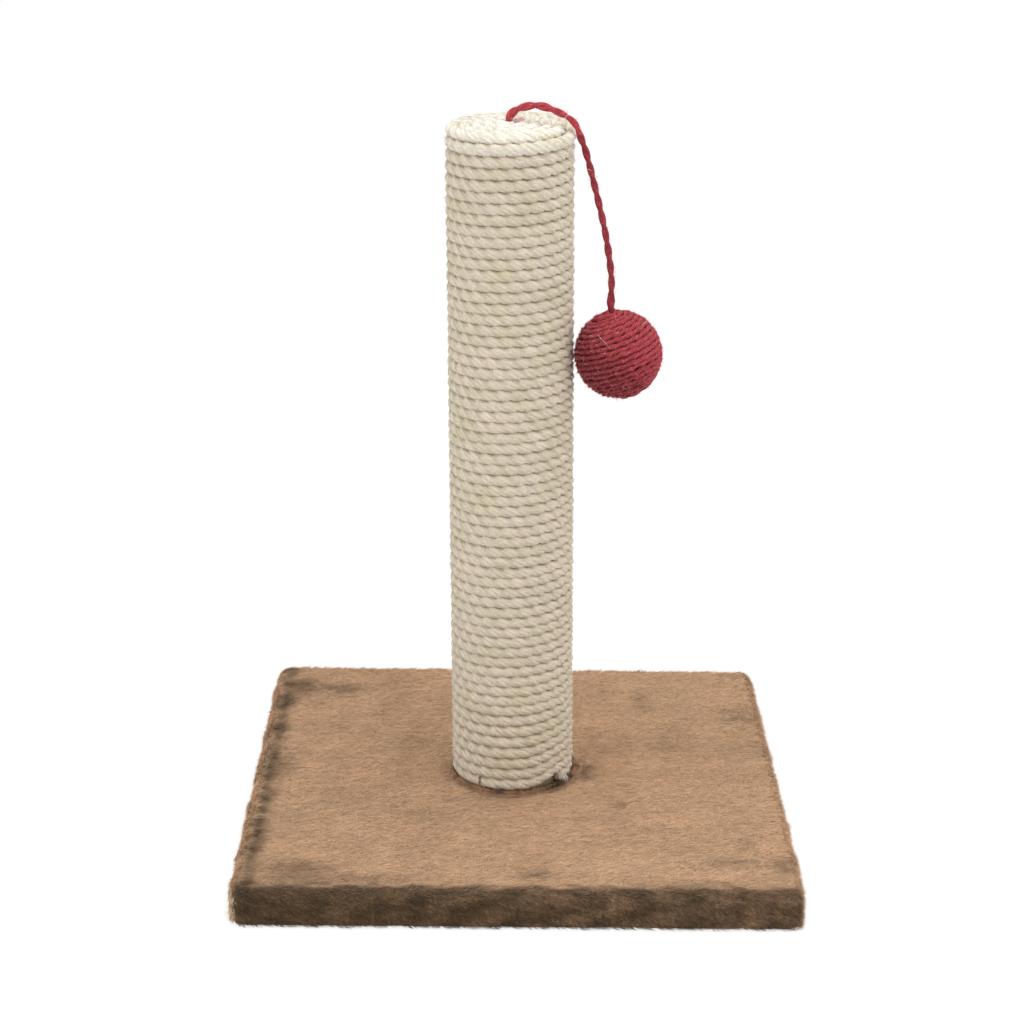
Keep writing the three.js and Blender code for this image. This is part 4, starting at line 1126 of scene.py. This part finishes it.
    def edge_pile(self, rng, long, count, look):
        """Tufts on the rounded edge, the sides and the outer strip of the hem."""
        edge, top = COVER_EDGE, CLOTH_TOP
        fine, run = square_run(COVER_HALF, COVER_CORNER)
        angle = np.interp(rng.uniform(0, run[-1], count), run, fine)
        x, y, n = square_normal(angle, COVER_HALF, COVER_CORNER)
        # over the edge while negative, then down the side
        s = rng.uniform(-EDGE_SHARE * edge * np.pi, top - edge - 0.5, count)
        a = np.clip(np.pi / 2 + s / edge, 0.1, np.pi / 2)
        out = -edge + edge * np.sin(a)
        z = np.where(s < 0, top - edge + edge * np.cos(a), top - edge - s)
        push = out + self.edge_lumps(x, y) - 0.2
        normal = np.stack([n[:, 0] * np.sin(a), n[:, 1] * np.sin(a), np.cos(a)], 1)
        x, y = x + n[:, 0] * push, y + n[:, 1] * push
        front = n[:, 1] < -0.6
        lay = np.stack(
            [
                np.where(front, 1.0, np.where(n[:, 1] > 0.6, 0.9, 0.25)),
                np.where(np.abs(n[:, 0]) > 0.6, -0.5, 0),
                np.where(s < 0, -0.1, np.where(front, -0.25, -0.5)),
            ],
            1,
        )
        lean = unit(lay + 0.28 * rng.normal(size=(count, 3))) + normal * rng.uniform(0.25, 0.8, (count, 1))
        root = np.stack([x, y, z], 1) * MM
        tip = root + unit(lean) * long * rng.uniform(0.7, 1.3, (count, 1))
        tip[:, 2] = np.maximum(tip[:, 2], 0.0003)
        up = smoothstep(-s / (EDGE_SHARE * edge * np.pi))
        shade = up * pile_shade(x, y) + (1 - up) * side_shade(x, y, n[:, 0], n[:, 1], z)
        # painted light: tufts on the left side get a paler tint, for the lit rolled edge
        tint = np.clip(rng.normal(0.5, 0.34, count) + 0.28 * (n[:, 0] < -0.6), 0, 1)
        shade = np.clip(shade * rng.normal(1, 0.17, count), 0, 1)
        return [
            tufts("pile_edge_" + name, pulled(root[k]), pulled(tip[k]), 0.00045, look, tint[k], shade[k])
            for name, k in (("front", y < 0), ("back", y >= 0))
        ]

    def foot_pile(self, rng, look):
        """Tufts that stand up against the rope at the post's foot, darkened as painted shade in patches close to the
        rope and in a wedge at its front right.
        """
        count, start, wide, clear = 5200, 36.7, 3.6, 0.0368
        angle, r = rng.uniform(-np.pi, np.pi, count), start + wide * rng.uniform(0, 1, count) ** 2
        root = np.stack([r * np.cos(angle), r * np.sin(angle), np.full(count, 22.8)], 1) * MM
        close = np.clip(1 - (r - start) / wide, 0, 1)
        lean = np.stack([1 - close * (0.75 - 0.25 * np.cos(angle)), 0.25 * close * np.sin(angle), 0.3 + 0.4 * close], 1)
        lean = lean + 0.25 * rng.normal(size=(count, 3))
        tip = root + unit(lean) * MM * (3.0 + 1.0 * close * rng.uniform(0.4, 1, count))[:, None]
        inside = np.hypot(tip[:, 0], tip[:, 1]) < clear
        tip[inside, :2] *= (clear / np.hypot(tip[inside, 0], tip[inside, 1]))[:, None]
        tint = np.clip(rng.normal(0.4, 0.25, count), 0, 1)
        # painted shade: dark patches close to the rope and a dark wedge at the front right of the foot
        patchy = 0.5 + 0.5 * lumps(root[:, 0] / MM, root[:, 1] / MM, 9, 91)
        wedge = 0.9 * np.exp(-(((angle + 0.8) / 0.25) ** 2))
        dark = np.clip(0.08 + 0.6 * smoothstep((patchy - 0.5) * 2.5) + wedge, 0, 0.95)
        return tufts("pile_foot", root, tip, 0.00045, look, tint, 1.0 - dark * close)


class SCRATCHPOST_OT_fittings(bpy.types.Operator):
    """Finishes of the board, staples, bolt, washer, nut, plugs, tube and the ball's core"""

    bl_idname = "scratchpost.fittings"
    bl_label = "Board and fittings"

    def execute(self, context):
        board, wood, card = fibreboard(), softwood(), cardboard()
        bright = zinc("zinc plate", (0.62, 0.63, 0.64), 0.35)
        dark = zinc("dull staple wire", (0.33, 0.28, 0.24), 0.55)
        looks = {"base_board": board, "foot_plug": wood, "top_plug": wood, "post_tube": card, "ball_core": card}
        looks.update({"base_bolt": bright, "base_washer": bright, "tee_nut": bright, "foot_rope_staple": dark})
        for name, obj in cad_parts.items():
            look = bright if name.startswith("hem_staple") else looks.get(name)
            if look:
                obj.data.materials.clear()
                obj.data.materials.append(look)
        return {"FINISHED"}


def by_ray(m, lit, seen, factor, out):
    """One shader for the light on the object, and another for what the camera sees."""
    mix = node(m, "MixShader")
    link(m, factor, mix.inputs["Fac"])
    link(m, lit.outputs[0], mix.inputs[1])
    link(m, seen.outputs[0], mix.inputs[2])
    link(m, mix.outputs[0], out.inputs["Surface"])


class SCRATCHPOST_OT_stage(bpy.types.Operator):
    """White floor, soft light and the camera"""

    bl_idname = "scratchpost.stage"
    bl_label = "Studio"

    def execute(self, context):
        scene = context.scene
        # where the camera stands and how it is turned, fitted to the base's corners and the post's outline
        away, height = 1.42306, 0.69607
        side, pan, tilt, roll = np.radians([0.53, -0.01, 19.592, -0.252])
        place = np.array([away * np.sin(side), -away * np.cos(side), height])
        a = side + pan
        forward = np.array([-np.sin(a) * np.cos(tilt), np.cos(a) * np.cos(tilt), -np.sin(tilt)])
        right = np.array([np.cos(a), np.sin(a), 0.0])
        up = np.cross(right, forward)
        right, up = np.cos(roll) * right + np.sin(roll) * up, -np.sin(roll) * right + np.cos(roll) * up
        camera = bpy.data.objects.new("camera", bpy.data.cameras.new("camera"))
        camera.data.lens = 89.8236
        camera.data.sensor_width = 36.0
        camera.data.clip_end = 20.0
        turn = Matrix([list(right), list(up), list(-forward)]).transposed().to_4x4()
        camera.matrix_world = Matrix.Translation(Vector(place)) @ turn
        scene.collection.objects.link(camera)
        scene.camera = camera

        world = bpy.data.worlds.new("studio")
        scene.world = world
        world.use_nodes = True
        world.node_tree.nodes.clear()
        light = node(world, "Background", Color=(*WHITE, 1), Strength=0.8)
        seen = node(world, "Background", Color=(*WHITE, 1), Strength=1.0)
        rays = node(world, "LightPath").outputs
        either = sums(world, "MAXIMUM", rays["Is Camera Ray"], rays["Is Glossy Ray"])
        shown = sums(world, "MAXIMUM", either, rays["Is Transmission Ray"])
        by_ray(world, light, seen, shown, node(world, "OutputWorld"))

        lamps = (
            ("key", (0.3, -0.2, 1.7), 1.1, 11.5),
            ("right fill", (1.0, -1.2, 0.8), 1.2, 3.0),
            ("left fill", (-1.5, -0.4, 0.8), 0.9, 5.6),
        )
        for name, spot, size, power in lamps:
            lamp = bpy.data.lights.new(name, "AREA")
            lamp.size = size
            lamp.energy = power
            lamp_object = bpy.data.objects.new(name, lamp)
            lamp_object.location = spot
            lamp_object.rotation_euler = (Vector((0, 0, 0.2)) - Vector(spot)).to_track_quat("-Z", "Y").to_euler()
            scene.collection.objects.link(lamp_object)

        floor = material("floor", (0.97, 0.97, 0.97), 1.0, Specular_IOR_Level=0.0)
        glow = node(floor, "Emission", Color=(*WHITE, 1), Strength=1.05)
        rays = node(floor, "LightPath").outputs
        shown = sums(floor, "MULTIPLY", rays["Is Camera Ray"], 0.8)
        shown = sums(floor, "MAXIMUM", shown, rays["Is Glossy Ray"])
        by_ray(floor, shader_of(floor), glow, shown, floor.node_tree.nodes["Material Output"])
        corners = 9.0 * np.array([[-1, -1, 0], [1, -1, 0], [1, 1, 0], [-1, 1, 0]])
        ground = piece("floor", corners, [np.array([[0, 1, 2, 3]])], floor)
        scene.view_settings.view_transform = "Standard"
        return {"FINISHED"}


class SCRATCHPOST_PT_panel(bpy.types.Panel):
    """The post's pieces, in the order in which they are made"""

    bl_idname = "SCRATCHPOST_PT_panel"
    bl_label = "Cat Scratching Post"
    bl_space_type = "VIEW_3D"
    bl_region_type = "UI"
    bl_category = "Scratching Post"

    def draw(self, context):
        column = self.layout.column()
        for group in (context.scene.post_settings, context.scene.cord_settings):
            for key in group.__annotations__:
                column.prop(group, key)
        for operator in OPERATORS:
            column.operator(operator.bl_idname)


OPERATORS = (
    SCRATCHPOST_OT_stage,
    SCRATCHPOST_OT_cord,
    SCRATCHPOST_OT_ball,
    SCRATCHPOST_OT_rope,
    SCRATCHPOST_OT_plush,
    SCRATCHPOST_OT_fittings,
)
CLASSES = (PostSettings, CordSettings, *OPERATORS, SCRATCHPOST_PT_panel)


def register():
    for cls in CLASSES:
        bpy.utils.register_class(cls)
    bpy.types.Scene.post_settings = bpy.props.PointerProperty(type=PostSettings)
    bpy.types.Scene.cord_settings = bpy.props.PointerProperty(type=CordSettings)


def unregister():
    del bpy.types.Scene.cord_settings
    del bpy.types.Scene.post_settings
    for cls in reversed(CLASSES):
        bpy.utils.unregister_class(cls)


def main():
    register()
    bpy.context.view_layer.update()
    bpy.ops.scratchpost.stage()
    bpy.ops.scratchpost.cord()
    bpy.ops.scratchpost.ball()
    bpy.ops.scratchpost.rope()
    bpy.ops.scratchpost.plush()
    bpy.ops.scratchpost.fittings()


if __name__ == "__main__":
    main()
